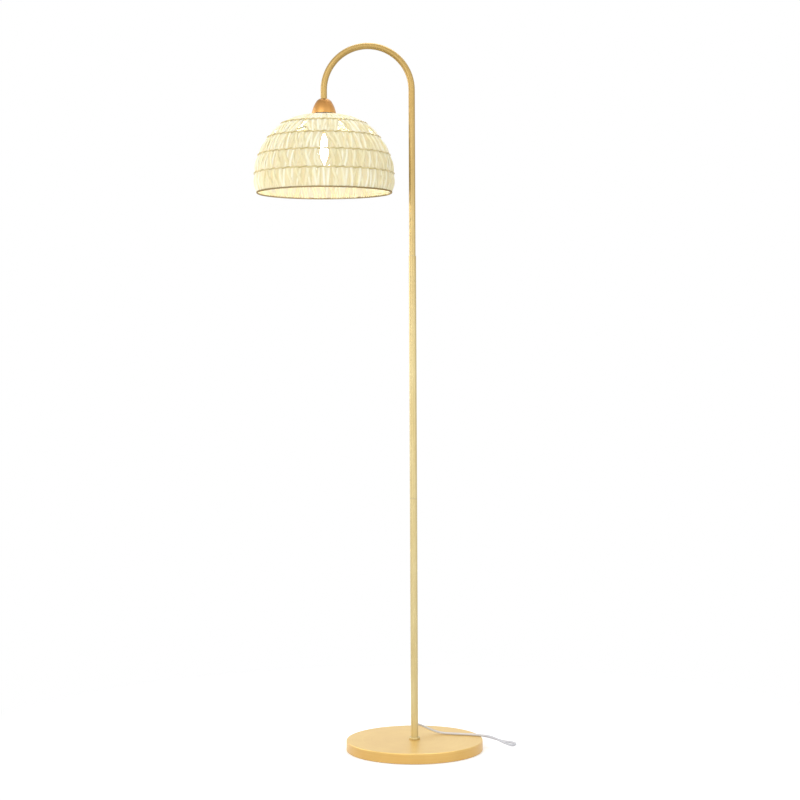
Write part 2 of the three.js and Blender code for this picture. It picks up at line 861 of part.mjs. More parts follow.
// Points of the held cord, from the lampholder to the exit
function innerCordPoints() {
  const points = [];
  const holderEnd = new THREE.Vector3(shadeX, 0, holderTop + faceGap + holderWall);
  const fallTop = new THREE.Vector3(shadeX, 0, archCentreHeight);
  const riseTop = new THREE.Vector3(0, 0, archCentreHeight);
  points.push(holderEnd);
  const over = new HalfCircle(riseTop, fallTop);
  for (let i = 0; i <= innerCordArchSteps; i += 1) {
    points.push(over.getPoint(1 - i / innerCordArchSteps));
  }
  const bend = new ExitBend();
  const bendTop = bend.getPoint(0);
  const straightEnd = bendTop.z + innerCordShift;
  for (let z = archCentreHeight - innerCordStraightStep; z > straightEnd; z -= innerCordStraightStep) {
    points.push(new THREE.Vector3(0, 0, z));
  }
  points.push(new THREE.Vector3(0, 0, straightEnd));
  for (let i = 0; i <= innerCordBendSteps; i += 1) {
    points.push(bend.getPoint(i / innerCordBendSteps));
  }
  points.push(alongExit(poleBore - clearance));
  return points;
}

// A tube whose rings stand on given points, turned to the line through the points' neighbours
function tubeOnPoints(points, radius, sides) {
  const positions = [];
  const indices = [];
  const count = points.length;
  let side = new THREE.Vector3();
  for (let i = 0; i < count; i += 1) {
    const before = points[Math.max(i - 1, 0)];
    const after = points[Math.min(i + 1, count - 1)];
    const along = new THREE.Vector3().subVectors(after, before).normalize();
    if (i === 0) {
      const helper = Math.abs(along.z) < 0.9 ? new THREE.Vector3(0, 0, 1) : new THREE.Vector3(1, 0, 0);
      side = helper;
    }
    side.addScaledVector(along, -side.dot(along)).normalize();
    const up = new THREE.Vector3().crossVectors(along, side);
    for (let k = 0; k < sides; k += 1) {
      const angle = (2 * Math.PI * (k + 0.5)) / sides;
      const point = points[i].clone();
      point.addScaledVector(side, radius * Math.cos(angle));
      point.addScaledVector(up, radius * Math.sin(angle));
      positions.push(point.x, point.y, point.z);
    }
  }
  for (let i = 0; i < count - 1; i += 1) {
    for (let k = 0; k < sides; k += 1) {
      const a = i * sides + k;
      const b = i * sides + ((k + 1) % sides);
      indices.push(a, b, b + sides, a, b + sides, a + sides);
    }
  }
  for (let k = 1; k < sides - 1; k += 1) {
    const last = (count - 1) * sides;
    indices.push(0, k + 1, k);
    indices.push(last, last + k, last + k + 1);
  }
  const geometry = new THREE.BufferGeometry();
  geometry.setAttribute('position', new THREE.Float32BufferAttribute(positions, 3));
  geometry.setIndex(indices);
  return geometry;
}

// Strain relief: a stub in the pole's hole, a flange outside it, and a long taper

function strainRelief() {
  const inner = poleBore + clearance;
  const seat = poleRadius + clearance;
  const profile = [
    [0, inner],
    [reliefStubRadius, inner],
    [reliefStubRadius, seat],
    [reliefFlangeRadius, seat],
    [reliefFlangeRadius, seat + reliefFlangeThickness],
    [reliefRootRadius, seat + reliefFlangeThickness],
    [reliefTipRadius, seat + reliefLength],
    [0, seat + reliefLength],
  ];
  const geometry = turned(profile, smallSides);
  const turn = new THREE.Quaternion().setFromUnitVectors(new THREE.Vector3(0, 0, 1), exitDirection);
  geometry.applyQuaternion(turn);
  geometry.translate(0, 0, cordExitHeight);
  return geometry;
}

// Free cord: hand-chosen points from the strain relief to the hank. Heights are those of the cord's middle.
const reliefEnd = poleRadius + clearance + reliefLength + faceGap;
const runStart = alongExit(reliefEnd);
const runRoute = [
  [0.9, 37.6, 47.9],
  [4.1, 44.9, 47.1],
  [9.3, 51.0, 45.2],
  [16.0, 55.3, 42.0],
  [24.2, 57.4, 38.0],
  [33.2, 57.0, 33.8],
  [43.0, 54.6, 30.2],
  [53.6, 51.2, 27.5],
  [65.5, 47.4, 26.0],
  [80.5, 43.4, 25.7],
  [99.0, 38.8, 25.7],
  [118.0, 34.2, 25.7],
  [134.0, 28.8, 25.7],
  [147.0, 24.0, 25.7],
  [159.0, 20.6, 25.1],
  [171.0, 18.8, 22.6],
  [182.0, 18.4, 18.0],
  [193.0, 18.8, 12.4],
  [202.5, 20.1, 7.6],
  [210.2, 22.4, 4.7],
  [217.5, 27.2, 3.0],
  [222.6, 34.3, 2.5],
  [224.5, 42.8, 2.5],
  [222.6, 51.5, 2.5],
  [217.2, 58.6, 2.5],
  [209.5, 63.6, 2.5],
  [201.5, 69.0, 2.5],
  [194.0, 77.5, 2.5],
  [186.5, 90.0, 2.5],
  [178.0, 104.0, 2.5],
  [168.0, 118.5, 2.5],
  [155.0, 132.0, 2.5],
  [138.0, 142.5, 2.5],
  [117.0, 149.0, 2.5],
  [90.0, 151.7, 2.5],
  [64.0, 151.6, 2.5],
];

// A turn of the hank walks two runs and two folds, and both its ends lie at an end of the near run
const runShare = 1 / 6;
const foldShare = 1 / 3;
const hankTurnEnd = hankLoops + runShare / 2;

// Hank: a point at a turn number, counted from the middle of the climb. The near run is walked towards -X.
function hankPoint(turnNumber) {
  const radius = hankFoldRadius + hankStep * Math.abs(turnNumber);
  const share = turnNumber - Math.floor(turnNumber);
  const half = hankRun / 2;
  const point = new THREE.Vector3();
  let waist = 0;
  if (share < runShare / 2 || share >= 1 - runShare / 2) {
    const way = (share < runShare / 2 ? share : share - 1) / runShare;
    point.set(-hankRun * way, -radius, 0);
    waist = Math.cos(Math.PI * way) ** 2;
    point.y += hankWaistPull * waist;
  } else if (share < runShare / 2 + foldShare) {
    const angle = (Math.PI * (share - runShare / 2)) / foldShare;
    point.set(-half - radius * Math.sin(angle), -radius * Math.cos(angle), 0);
  } else if (share < runShare * 1.5 + foldShare) {
    const way = (share - runShare - foldShare) / runShare;
    point.set(hankRun * way, radius, 0);
    waist = Math.cos(Math.PI * way) ** 2;
    point.y -= hankWaistPull * waist;
  } else {
    const angle = (Math.PI * (share - runShare * 1.5 - foldShare)) / foldShare;
    point.set(half + radius * Math.sin(angle), radius * Math.cos(angle), 0);
  }
  const climb = THREE.MathUtils.smoothstep(turnNumber, -runShare / 2, runShare / 2);
  point.z = cordRadius + hankLayerStep * climb + (tieThickness + 2 * clearance) * waist;
  point.y += hankSetBack;
  return point;
}

function hankPoints() {
  const points = [];
  const steps = Math.round(2 * hankTurnEnd * hankLoopSteps);
  for (let i = 0; i <= steps; i += 1) {
    points.push(hankPoint(-hankTurnEnd + (2 * hankTurnEnd * i) / steps));
  }
  return points;
}

// Least gap between the cord's surfaces where it passes itself, measured on points along the hank
function hankSelfGap() {
  const fine = [];
  const samples = hankGapSamples;
  for (let i = 0; i <= samples; i += 1) {
    fine.push(hankPoint(-hankTurnEnd + (2 * hankTurnEnd * i) / samples));
  }
  let least = Infinity;
  const apart = Math.ceil(samples / (4 * hankTurnEnd));
  for (let i = 0; i < fine.length; i += 1) {
    for (let j = i + apart; j < fine.length; j += 1) {
      least = Math.min(least, fine[i].distanceTo(fine[j]));
    }
  }
  return least - 2 * cordRadius;
}

function lengthOf(points) {
  let sum = 0;
  for (let i = 1; i < points.length; i += 1) {
    sum += points[i].distanceTo(points[i - 1]);
  }
  return sum;
}

const coil = hankPoints();
const coilStart = coil[0].clone();
const coilEnd = coil[coil.length - 1].clone();
coilStart.x += 2 * cordRadius;
coilEnd.x -= 2 * cordRadius;
coil.unshift(coilStart);
coil.push(coilEnd);

function freeTube(points, steps) {
  const curve = new THREE.CatmullRomCurve3(points, false, 'centripetal');
  return tubeAlong(curve, steps, cordRadius, cordSides);
}

const runPoints = [runStart];
for (const [x, y, z] of runRoute) {
  runPoints.push(new THREE.Vector3(x, y, z));
}
for (const distance of [4 * cordRadius, faceGap]) {
  runPoints.push(new THREE.Vector3(coilStart.x + distance, coilStart.y, coilStart.z));
}

// Plug: lies behind the base, with its length along the base's edge
const plugAngle = THREE.MathUtils.degToRad(218);
const plugAlong = new THREE.Vector3(Math.cos(plugAngle), Math.sin(plugAngle), 0);
const plugStart = new THREE.Vector3(-86, 142.2, plugBodyHeight / 2);

const tailRoute = [
  [-46.0, 151.6, 7.8],
  [-54.0, 151.4, 7.0],
  [-63.0, 150.5, 6.3],
  [-73.0, 148.4, 6.4],
  [-81.0, 145.2, 6.9],
];
const tailPoints = [new THREE.Vector3(coilEnd.x - faceGap, coilEnd.y, coilEnd.z)];
for (const [x, y, z] of tailRoute) {
  tailPoints.push(new THREE.Vector3(x, y, z));
}
tailPoints.push(plugStart.clone().addScaledVector(plugAlong, -faceGap));
function hankTie() {
  const spread = (hankWaistPull * tieWidth) / hankRun + cordRadius + clearance;
  const near = hankPoint(-hankLoops).y - spread;
  const far = hankPoint(0.5 - hankLoops).y + spread;
  const high = 2 * cordRadius + hankLayerStep + tieThickness + 3 * clearance;
  const outer = boxShape(near - tieThickness, 0, far + tieThickness, high + tieThickness, cordRadius);
  const hole = boxShape(near, tieThickness, far, high, cordRadius - tieThickness);
  outer.holes.push(new THREE.Path(hole.getPoints(cornerSteps).reverse()));
  const settings = { depth: tieWidth, bevelEnabled: false, curveSegments: cornerSteps };
  const geometry = new THREE.ExtrudeGeometry(outer, settings);
  geometry.translate(0, 0, -tieWidth / 2);
  geometry.rotateX(Math.PI / 2);
  geometry.rotateZ(Math.PI / 2);
  return geometry;
}

// A rectangle with round corners
function boxShape(left, bottom, right, top, corner) {
  const shape = new THREE.Shape();
  shape.moveTo(left + corner, bottom);
  shape.lineTo(right - corner, bottom);
  shape.absarc(right - corner, bottom + corner, corner, -Math.PI / 2, 0, false);
  shape.absarc(right - corner, top - corner, corner, 0, Math.PI / 2, false);
  shape.absarc(left + corner, top - corner, corner, Math.PI / 2, Math.PI, false);
  shape.absarc(left + corner, bottom + corner, corner, Math.PI, 1.5 * Math.PI, false);
  return shape;
}

// The plug is made along +Z from its cord end, then laid down along its own line
function layPlug(geometry) {
  const lie = new THREE.Matrix4().makeBasis(
    new THREE.Vector3(-plugAlong.y, plugAlong.x, 0),
    new THREE.Vector3(0, 0, 1),
    plugAlong,
  );
  geometry.applyMatrix4(lie);
  geometry.translate(plugStart.x, plugStart.y, plugStart.z);
  return geometry;
}

const bladeStart = plugReliefLength + plugBodyLength - bladeInset;

function plugBlade(side, growth) {
  const length = bladeInset + bladeLength + (growth > 0 ? cutOverrun : 0);
  const blade = new THREE.BoxGeometry(bladeThickness + 2 * growth, bladeWidth + 2 * growth, length);
  blade.translate((side * bladeSpacing) / 2, 0, bladeStart + length / 2 - growth);
  return blade;
}

function plugBody() {
  const half = plugBodyWidth / 2 - plugEdge;
  const tall = plugBodyHeight / 2 - plugEdge;
  const shape = boxShape(-half, -tall, half, tall, plugCorner - plugEdge);
  const body = new THREE.ExtrudeGeometry(shape, {
    depth: plugBodyLength - 2 * plugEdge,
    bevelThickness: plugEdge,
    bevelSize: plugEdge,
    bevelSegments: 1,
    curveSegments: cornerSteps,
  });
  body.translate(0, 0, plugReliefLength + plugEdge);
  const taper = turned([
    [0, 0],
    [cordRadius + 2 * clearance, 0],
    [plugReliefRootRadius, plugReliefLength + plugEdge],
    [0, plugReliefLength + plugEdge],
  ], smallSides);
  const whole = joined([body, taper]);
  return layPlug(cut(whole, [plugBlade(-1, clearance), plugBlade(1, clearance)]));
}

place('inner_cord', tubeOnPoints(innerCordPoints(), cordRadius, cordSides), 'cordPlastic');
place('strain_relief', strainRelief(), 'cordPlastic');
place('cord_run', freeTube(runPoints, runSteps), 'cordPlastic');
place('cord_hank', tubeOnPoints(coil, cordRadius, hankSides), 'cordPlastic');
place('cord_tail', freeTube(tailPoints, tailSteps), 'cordPlastic');
place('hank_tie', hankTie(), 'foam');
place('plug_body', plugBody(), 'cordPlastic');
place('plug_blade_1', layPlug(plugBlade(-1, 0)), 'brass');
place('plug_blade_2', layPlug(plugBlade(1, 0)), 'brass');

console.log(`hank: least gap to itself ${hankSelfGap().toFixed(2)} mm`);
const cordLengths = [runPoints, coil, tailPoints].map((points) => lengthOf(points).toFixed(0));
console.log(`cord lengths in mm, run, hank and tail: ${cordLengths.join(', ')}`);

export default lamp;
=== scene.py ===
import json
from functools import partial
from math import copysign, cos, pi, radians, sin

import bmesh
import bpy
from mathutils import Matrix, Vector


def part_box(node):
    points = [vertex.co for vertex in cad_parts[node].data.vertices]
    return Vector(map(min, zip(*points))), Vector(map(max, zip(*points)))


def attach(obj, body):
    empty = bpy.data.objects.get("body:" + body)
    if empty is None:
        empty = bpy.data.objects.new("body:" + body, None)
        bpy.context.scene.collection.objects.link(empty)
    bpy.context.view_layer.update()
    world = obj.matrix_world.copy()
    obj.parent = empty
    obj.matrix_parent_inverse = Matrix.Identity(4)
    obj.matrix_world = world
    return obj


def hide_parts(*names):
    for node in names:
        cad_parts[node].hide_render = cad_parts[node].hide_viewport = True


# A floor lamp: a weighted round base, a slim pole bent over at the top, and a woven cane dome shade.
# Sizes are in millimetres and become metres where a mesh is made.

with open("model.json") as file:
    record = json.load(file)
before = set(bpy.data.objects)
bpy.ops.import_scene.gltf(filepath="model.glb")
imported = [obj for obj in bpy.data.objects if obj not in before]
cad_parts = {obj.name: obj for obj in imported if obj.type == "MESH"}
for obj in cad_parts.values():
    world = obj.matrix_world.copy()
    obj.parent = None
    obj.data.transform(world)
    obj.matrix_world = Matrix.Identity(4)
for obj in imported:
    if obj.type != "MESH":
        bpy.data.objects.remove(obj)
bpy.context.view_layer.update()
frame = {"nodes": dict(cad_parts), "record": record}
nodes = frame["nodes"]

MM = 0.001
TURN = 2 * pi

# Sizes of the fixed frame that the pieces here follow
SHADE_X = -192.0
SHADE_AXIS = (SHADE_X * MM, 0, 0)
POLE_RADIUS = 8.0
POLE_JOINTS = (554.0, 1086.0)
JOINT_GAP = 0.15
ARCH_TUBE_RADIUS = 7.0
TUBE_WALL = 1.2
ARCH_RADIUS = 96.0
ARCH_CENTRE = 1448.0
CAP_TOP = 1429.0
CAP_DEPTH = 32
CAP_NECK = 10
CAP_FLARE = 17
CAP_WALL = 2
BASE_RADIUS = 150.0
BASE_TOP = 23.0
BASE_EDGE = 2
GLASS_RADIUS = 27.5
NECK_RADIUS = 12.4
CORD_RADIUS = 2.5
CORD_ORIGIN = Vector((0, 0, 48.0))
CORD_EXIT = Vector((0, 1, 0))

# Radius and height of the line where the crown's strands start, and of each hoop
CROWN_MOUTH = (28, 1395)
HOOPS = [(92, 1374), (121.5, 1344), (142.5, 1306), (151, 1266), (146.5, 1225)]

# Each tier's bulge in millimetres, and its openings: how many, the turn of the first in degrees, and their
# widths in millimetres at the upper hoop, added at the waist, and at the lower hoop. Those of the first tier
# ring the dome. In the next two the bundles part once, in front of the bulb.
TIERS = [(2.2, 8, 0, 0, 0, 36), (2.6, 1, 92.4, 4, 4, 22), (3.0, 1, 92.4, 22, 9, 0), (4.0, 8, 0, 0, 0, 0)]

# The camera, fitted to the photograph: place in metres, lens in millimetres, tilt down and roll in degrees
CAMERA_PLACE = (-0.0282, -3.946, 0.8598)
CAMERA_LENS = 80.96
CAMERA_TILT = 1.3
CAMERA_ROLL = 0.27

# Each lamp's power in watts, its side in metres, its place and what it points at
LAMPS = [
    ("key", 61, 3.0, (-1.7, -3.0, 2.1), (-0.1, 0, 1.1)),
    ("fill", 30, 2.4, (2.2, -2.6, 1.7), (-0.15, 0, 1.2)),
    ("rim", 26, 1.6, (-2.4, 0.9, 1.4), (0, 0, 1.0)),
    ("top", 42, 2.0, (0.2, 0.9, 3.4), (0, 0, 0)),
]


# Nodes and colours

FAMILIES = ("ShaderNode", "GeometryNode", "FunctionNode", "Node")
SIGNS = {"+": "ADD", "-": "SUBTRACT", "*": "MULTIPLY", "/": "DIVIDE", "*+": "MULTIPLY_ADD"}


def linear(hex_colour):
    """An sRGB hex colour as the linear RGBA that sockets take."""
    parts = [int(hex_colour[i : i + 2], 16) / 255 for i in (1, 3, 5)]
    curved = [c / 12.92 if c <= 0.04045 else ((c + 0.055) / 1.055) ** 2.4 for c in parts]
    return (*curved, 1.0)


def add(tree, kind, inputs=None, stops=None, **settings):
    """A node of a kind, named without its family. A sign or an operation in capitals makes a math node, and a
    vector one after the word Vector. Inputs are values, nodes or sockets. Stops are those of a ramp."""
    group, _, sign = kind.rpartition(" ")
    if SIGNS.get(sign, sign).isupper():
        kind, settings = group + "Math", {"operation": SIGNS.get(sign, sign), **settings}
    node = tree.nodes.new(next(family for family in FAMILIES if hasattr(bpy.types, family + kind)) + kind)
    for name, value in settings.items():
        setattr(node, name, value)
    if stops:
        ramp = node.color_ramp.elements
        while len(ramp) < len(stops):
            ramp.new(0.5)
        for element, (position, colour) in zip(ramp, stops):
            element.position = position
            element.color = linear(colour)
    pairs = enumerate(inputs) if isinstance(inputs, list) else (inputs or {}).items()
    for name, given in pairs:
        for value in given if isinstance(given, list) else [given]:
            if isinstance(value, bpy.types.Node):
                value = next(out for out in value.outputs if out.enabled)
            if isinstance(value, bpy.types.NodeSocket):
                tree.links.new(value, node.inputs[name])
            elif isinstance(value, str) and value.startswith("#"):
                node.inputs[name].default_value = linear(value)
            elif value is not None:
                node.inputs[name].default_value = value
    return node


def start_material(name):
    """An empty node material, the function that adds to it, and the coordinates for its patterns."""
    material = bpy.data.materials.new(name)
    material.use_nodes = True
    material.node_tree.nodes.clear()
    new = partial(add, material.node_tree)
    return material, new, new("TexCoord").outputs


def noise(new, place, scale, detail, roughness=0.5):
    """A noise pattern at one scale, or at a scale for each axis."""
    if isinstance(scale, tuple):
        place, scale = new("Mapping", {"Vector": place, "Scale": scale}), 1
    return new("TexNoise", {"Vector": place, "Scale": scale, "Detail": detail, "Roughness": roughness})


def blend(new, share, one, other, **settings):
    """One colour turned into another by a share."""
    return new("Mix", {0: share, 6: one, 7: other}, data_type="RGBA", **settings).outputs[2]


def coat(new, tint, rough, bump, surface):
    """Ends a material in one surface. The tint is a colour, or a pattern with its ramp's stops. The roughness
    is a number, or a pattern with two ends. The bump is a pattern, a strength and a depth in metres."""
    if isinstance(tint, tuple):
        tint = new("ValToRGB", [tint[0]], stops=tint[1:])
    if isinstance(rough, tuple):
        rough = new("MapRange", [rough[0], 0.0, 1.0, *rough[1:]])
    if bump:
        bump = new("Bump", {"Height": bump[0], "Strength": bump[1], "Distance": bump[2]})
    new("OutputMaterial", {"Surface": new("BsdfPrincipled", {
        "Base Color": tint, "Roughness": rough, "Normal": bump, **surface,
    })})


# Finishes of the lamp's own pieces


def tube_brass():
    """Brass-plated steel tube, belt-ground lengthwise under clear satin lacquer: a broad soft highlight with
    fine grain along the tube, faint cloudiness where the lacquer is thicker, and painted shade that turns it
    browner from 0.85 m up to the arch."""
    material, new, place = start_material("satin_lacquered_brass_tube")
    # Grain 0.4 mm across the tube and 60 mm along it. Real lines are near 0.05 mm, too fine to show.
    grain = noise(new, place["UV"], (1 / 0.0004, 1 / 0.06, 1), 3, 0.6)
    cloud = noise(new, place["UV"], (1 / 0.02, 1 / 0.12, 1), 2)
    tone = new("*", [new("+", [grain, cloud]), 0.5])
    pale = new("ValToRGB", [tone], stops=[(0.3, "#C0AB72"), (0.75, "#D4C697")])
    painted_shade_brown = new("ValToRGB", [tone], stops=[(0.3, "#9F8040"), (0.75, "#BFA162")])
    height = new("SeparateXYZ", [place["Object"]]).outputs["Z"]
    # Painted shade: the tube turns from pale to brown between 0.85 m and 1.42 m high
    painted_shade_by_height = new("MapRange", [height, 0.85, 1.42])
    coat(new, blend(new, painted_shade_by_height, pale, painted_shade_brown), (tone, 0.42, 0.56), (grain, 0.05, 0.0001),
         {"Metallic": 0.75, "Coat Weight": 0.25, "Coat Roughness": 0.18})
    return material


def spun_brass():
    """Spun steel disc, brass-plated and satin lacquered: faint rings left by the spinning tool, and painted
    shade that makes its side a deeper gold."""
    material, new, place = start_material("spun_satin_brass_plate")
    flat = new("Vector *", [place["Object"], (1, 1, 0)])
    reach = new("Vector LENGTH", [flat]).outputs["Value"]
    height = new("SeparateXYZ", [place["Object"]]).outputs["Z"]
    # Rings every 0.8 mm or so: the real ones are finer, and would vanish at the distance of the picture
    rings = noise(new, new("CombineXYZ", [reach, 0.0, height]), (1 / 0.0016, 1, 1 / 0.0016), 2)
    cloud = noise(new, place["Object"], 16, 3)
    tone = new("*", [new("+", [rings, cloud]), 0.5])
    gold = new("ValToRGB", [tone], stops=[(0.3, "#D9B46A"), (0.55, "#E0BF76"), (0.75, "#E6C882")])
    # Painted shade: below its rounded top edge, the side's gold is multiplied darker
    side = new("MapRange", [height, 0.0225, 0.0205])
    tint = blend(new, side, gold, "#ECE2D6", blend_type="MULTIPLY")
    coat(new, tint, (tone, 0.36, 0.5), (rings, 0.1, 0.0001),
         {"Metallic": 0.85, "Coat Weight": 0.2, "Coat Roughness": 0.25})
    return material


def cap_brass():
    """Drawn copper-toned brass bell, polished and lacquered: darker and redder than the tube, with painted
    shade that turns it browner towards its neck, a sharper highlight and light rings from polishing."""
    material, new, place = start_material("drawn_red_brass_bell")
    height = new("SeparateXYZ", [place["Object"]]).outputs["Z"]
    rings = noise(new, new("CombineXYZ", [0.0, 0.0, height]), (1, 1, 1 / 0.0012), 2)
    # Painted shade, darker and browner from 1.397 m at its rim to 1.429 m at its neck
    painted_shade_to_neck = new("MapRange", [height, 1.399, 1.428])
    tone = new("-", [painted_shade_to_neck, new("*", [rings, 0.25])])
    coat(new, (tone, (0.0, "#D09A56"), (0.5, "#BA8546"), (1.0, "#825C28")), (rings, 0.32, 0.42),
         (rings, 0.08, 0.0001), {"Metallic": 0.8})
    return material


def turned_brass():
    """Plain turned brass of the small fittings: bright, with slight tarnish."""
    material, new, place = start_material("turned_brass_fittings")
    tarnish = noise(new, place["Object"], 220, 4, 0.6)
    coat(new, (tarnish, (0.35, "#B8934A"), (0.65, "#D6B36A")), (tarnish, 0.22, 0.4), None, {"Metallic": 1.0})
    return material


def zinc_steel():
    """Zinc-plated steel of the bolt, washer, joiners and spider: bluish grey, bright, faintly mottled."""
    material, new, place = start_material("zinc_plated_steel")
    spangle = new("TexVoronoi", {"Vector": place["Object"], "Scale": 500})
    mottle = new("*", [spangle, noise(new, place["Object"], 150, 3)])
    coat(new, (mottle, (0.1, "#B9BDC2"), (0.5, "#D2D5D8")), (mottle, 0.3, 0.5), None, {"Metallic": 1.0})
    return material


def cast_concrete():
    """Cast concrete of the base weight: dull grey with sand grains and a few air holes."""
    material, new, place = start_material("cast_concrete")
    sand = noise(new, place["Object"], 700, 5, 0.7)
    holes = new("TexVoronoi", {"Vector": place["Object"], "Scale": 120})
    pitted = new("+", [sand, new("MapRange", [holes, 0.0, 0.15])])
    coat(new, (sand, (0.3, "#8A8781"), (0.7, "#A5A29B")), 0.92, (pitted, 0.5, 0.0004), {})
    return material


def cell_foam():
    """Closed-cell EVA foam of the rest pad and the tie: near black, matt, with fine cells."""
    material, new, place = start_material("closed_cell_foam")
    cells = new("TexVoronoi", {"Vector": place["Object"], "Scale": 1400})
    coat(new, (cells, (0.1, "#1E1E1F"), (0.6, "#303031")), 0.85, (cells, 0.4, 0.0002), {})
    return material


def holder_phenolic():
    """Moulded black phenolic of the lampholder: dark brown-black, a soft sheen and a fine moulded grain."""
    material, new, place = start_material("moulded_phenolic")
    grain = noise(new, place["Object"], 900, 3)
    coat(new, (grain, (0.3, "#262422"), (0.7, "#33302D")), (grain, 0.36, 0.5), (grain, 0.15, 0.0001),
         {"IOR": 1.6})
    return material


def glazed_porcelain():
    """Glazed porcelain of the lampholder's insert: warm white under a clear, slightly wavy glaze."""
    material, new, place = start_material("glazed_porcelain")
    wave = noise(new, place["Object"], 90, 2)
    coat(new, (wave, (0.3, "#EDEBE3"), (0.7, "#F5F3EC")), 0.3, (wave, 0.1, 0.0002),
         {"Coat Weight": 0.7, "Coat Roughness": 0.05})
    return material


def strand_material(name, dark, middle, light, roughness, inner=None):
    """Cane or twisted paper cane: fibres run along each strand, strands differ a little in tone, and the
    surface is dry with a low waxy sheen. The strand's own attributes place the fibres and set the tone. An
    inner colour is painted on the side towards the shade's axis: painted shade, greyer than the rest."""
    material, new, place = start_material(name)
    along, around, strand = (
        new("Attribute", attribute_name=each).outputs["Fac"] for each in ("along", "around", "strand"))
    # Fibres about 0.5 mm wide and 14 mm long
    scales = ((around, 16.0), (along, 1 / 0.014), (strand, 60.0))
    spot = new("CombineXYZ", [new("*", [each, scale]) for each, scale in scales])
    fibres = noise(new, spot, 1, 3, 0.6)
    # The strand attribute sets each strand's tone, which in the tiers is darker at the bundles' edges:
    # painted shade
    tone = new("+", [fibres, new("*", [strand, 0.6])])
    tint = new("ValToRGB", [tone], stops=[(0.4, dark), (0.7, middle), (1.0, light)])
    if inner:
        # Painted shade: the side that faces the shade's axis is blended towards the inner colour
        out = new("Vector -", [place["Object"], SHADE_AXIS])
        out = new("Vector *", [out, (1, 1, 0)])
        painted_shade_facing = new("Vector DOT_PRODUCT", [out, place["Normal"]]).outputs["Value"]
        within = new("MapRange", [painted_shade_facing, 0.02, -0.02, 0.0, 0.8])
        tint = blend(new, within, tint, inner)
    coat(new, tint, roughness, (fibres, 0.4, 0.0003), {
        "Sheen Weight": 0.15, "Sheen Roughness": 0.5, "Specular IOR Level": 0.35, "Subsurface Weight": 0.35,
        "Subsurface Radius": (1.0, 0.8, 0.5), "Subsurface Scale": 0.003,
    })
    return material


def lit_opal_glass():
    """Opal-coated bulb glass, lit: an even daylight-white glow, a little dimmer towards the neck. The cane
    round it turns that light warm."""
    material, new, place = start_material("lit_opal_glass")
    height = new("SeparateXYZ", [place["Object"]]).outputs["Z"]
    level = new("+", [height, new("*", [noise(new, place["Object"], 60, 2), 0.006])])
    share = new("MapRange", [level, 1.30, 1.37])
    glow = new("ValToRGB", [share], stops=[(0.0, "#F1F5FF"), (1.0, "#E8EEFF")])
    coat(new, "#FFFAF0", 0.25, None, {"Emission Color": glow, "Emission Strength": 21.0})
    return material


def cord_pvc():
    """Light grey PVC sheath of the cord and plug: smooth, a soft sheen, faint lines along it from the
    extruder."""
    material, new, place = start_material("light_grey_pvc")
    lines = noise(new, place["UV"], (1 / 0.0008, 1 / 0.08, 1), 2)
    coat(new, (lines, (0.3, "#C6C6CB"), (0.7, "#D2D2D6")), (lines, 0.38, 0.5), None,
         {"Specular IOR Level": 0.45})
    return material


# The finish of each material slot, and the two that only some pieces of a slot have
FINISHES = {
    "brass_tube": tube_brass(),
    "brass_base": spun_brass(),
    "brass_cap": cap_brass(),
    "brass_fittings": turned_brass(),
    "zinc_steel": zinc_steel(),
    "concrete": cast_concrete(),
    "foam": cell_foam(),
    "holder_plastic": holder_phenolic(),
    "porcelain": glazed_porcelain(),
    "cane": strand_material("bleached_paper_cane", "#DAC78E", "#F7ECC4", "#FEF9E4", 0.62),
    "cane_hoop": strand_material("twined_natural_cane", "#B7A46C", "#D0BE88", "#E0D09E", 0.6),
    "opal_glass": lit_opal_glass(),
    "cord_plastic": cord_pvc(),
}
# The lining's cane is painted a little darker than the outer strands: painted shade in the gaps between the
# bundles
LINING_CANE = strand_material("lining_cane_painted_shade", "#DCCE9E", "#EADDB4", "#F4EACC", 0.66, inner="#D2CAB8")
RIM_CANE = strand_material("whipped_dark_cane", "#8A7546", "#A38D5A", "#B8A26C", 0.6)


# Camera and studio


def put(name, data):
    """A new object in the scene."""
    made = bpy.data.objects.new(name, data)
    bpy.context.scene.collection.objects.link(made)
    return made


def look_from(place, target):
    """The matrix of a lamp at a place that points at a target."""
    turn = (Vector(target) - Vector(place)).to_track_quat("-Z", "Y")
    return Matrix.Translation(place) @ turn.to_matrix().to_4x4()


def studio():
    """The camera at the photograph's place, soft lamps and a white surround."""
    scene = bpy.context.scene
    scene.view_settings.view_transform = "Standard"
    camera = bpy.data.cameras.new("camera")
    camera.sensor_width = 36
    camera.lens = CAMERA_LENS
    camera.clip_end = 100
    eye = put("camera", camera)
    eye.location = CAMERA_PLACE
    eye.rotation_euler = (radians(90 - CAMERA_TILT), radians(CAMERA_ROLL), 0)
    scene.camera = eye
    for name, power, side, place, target in LAMPS:
        light = bpy.data.lights.new(name, "AREA")
        light.energy = power
        light.size = side
        lamp = put(name, light)
        lamp.matrix_world = look_from(place, target)
        lamp.visible_camera = False
    world = bpy.data.worlds.new("white_surround")
    scene.world = world
    world.use_nodes = True
    world.node_tree.nodes.clear()
    new = partial(add, world.node_tree)
    path = new("LightPath").outputs
    seen = new("+", [path["Is Camera Ray"], path["Is Glossy Ray"]])
    shown = new("+", [seen, path["Is Transmission Ray"]], use_clamp=True)
    strength = new("MapRange", [shown, 0.0, 1.0, 0.5, 1.0])
    new("OutputWorld", {"Surface": new("Background", {"Color": "#FFFFFF", "Strength": strength})})


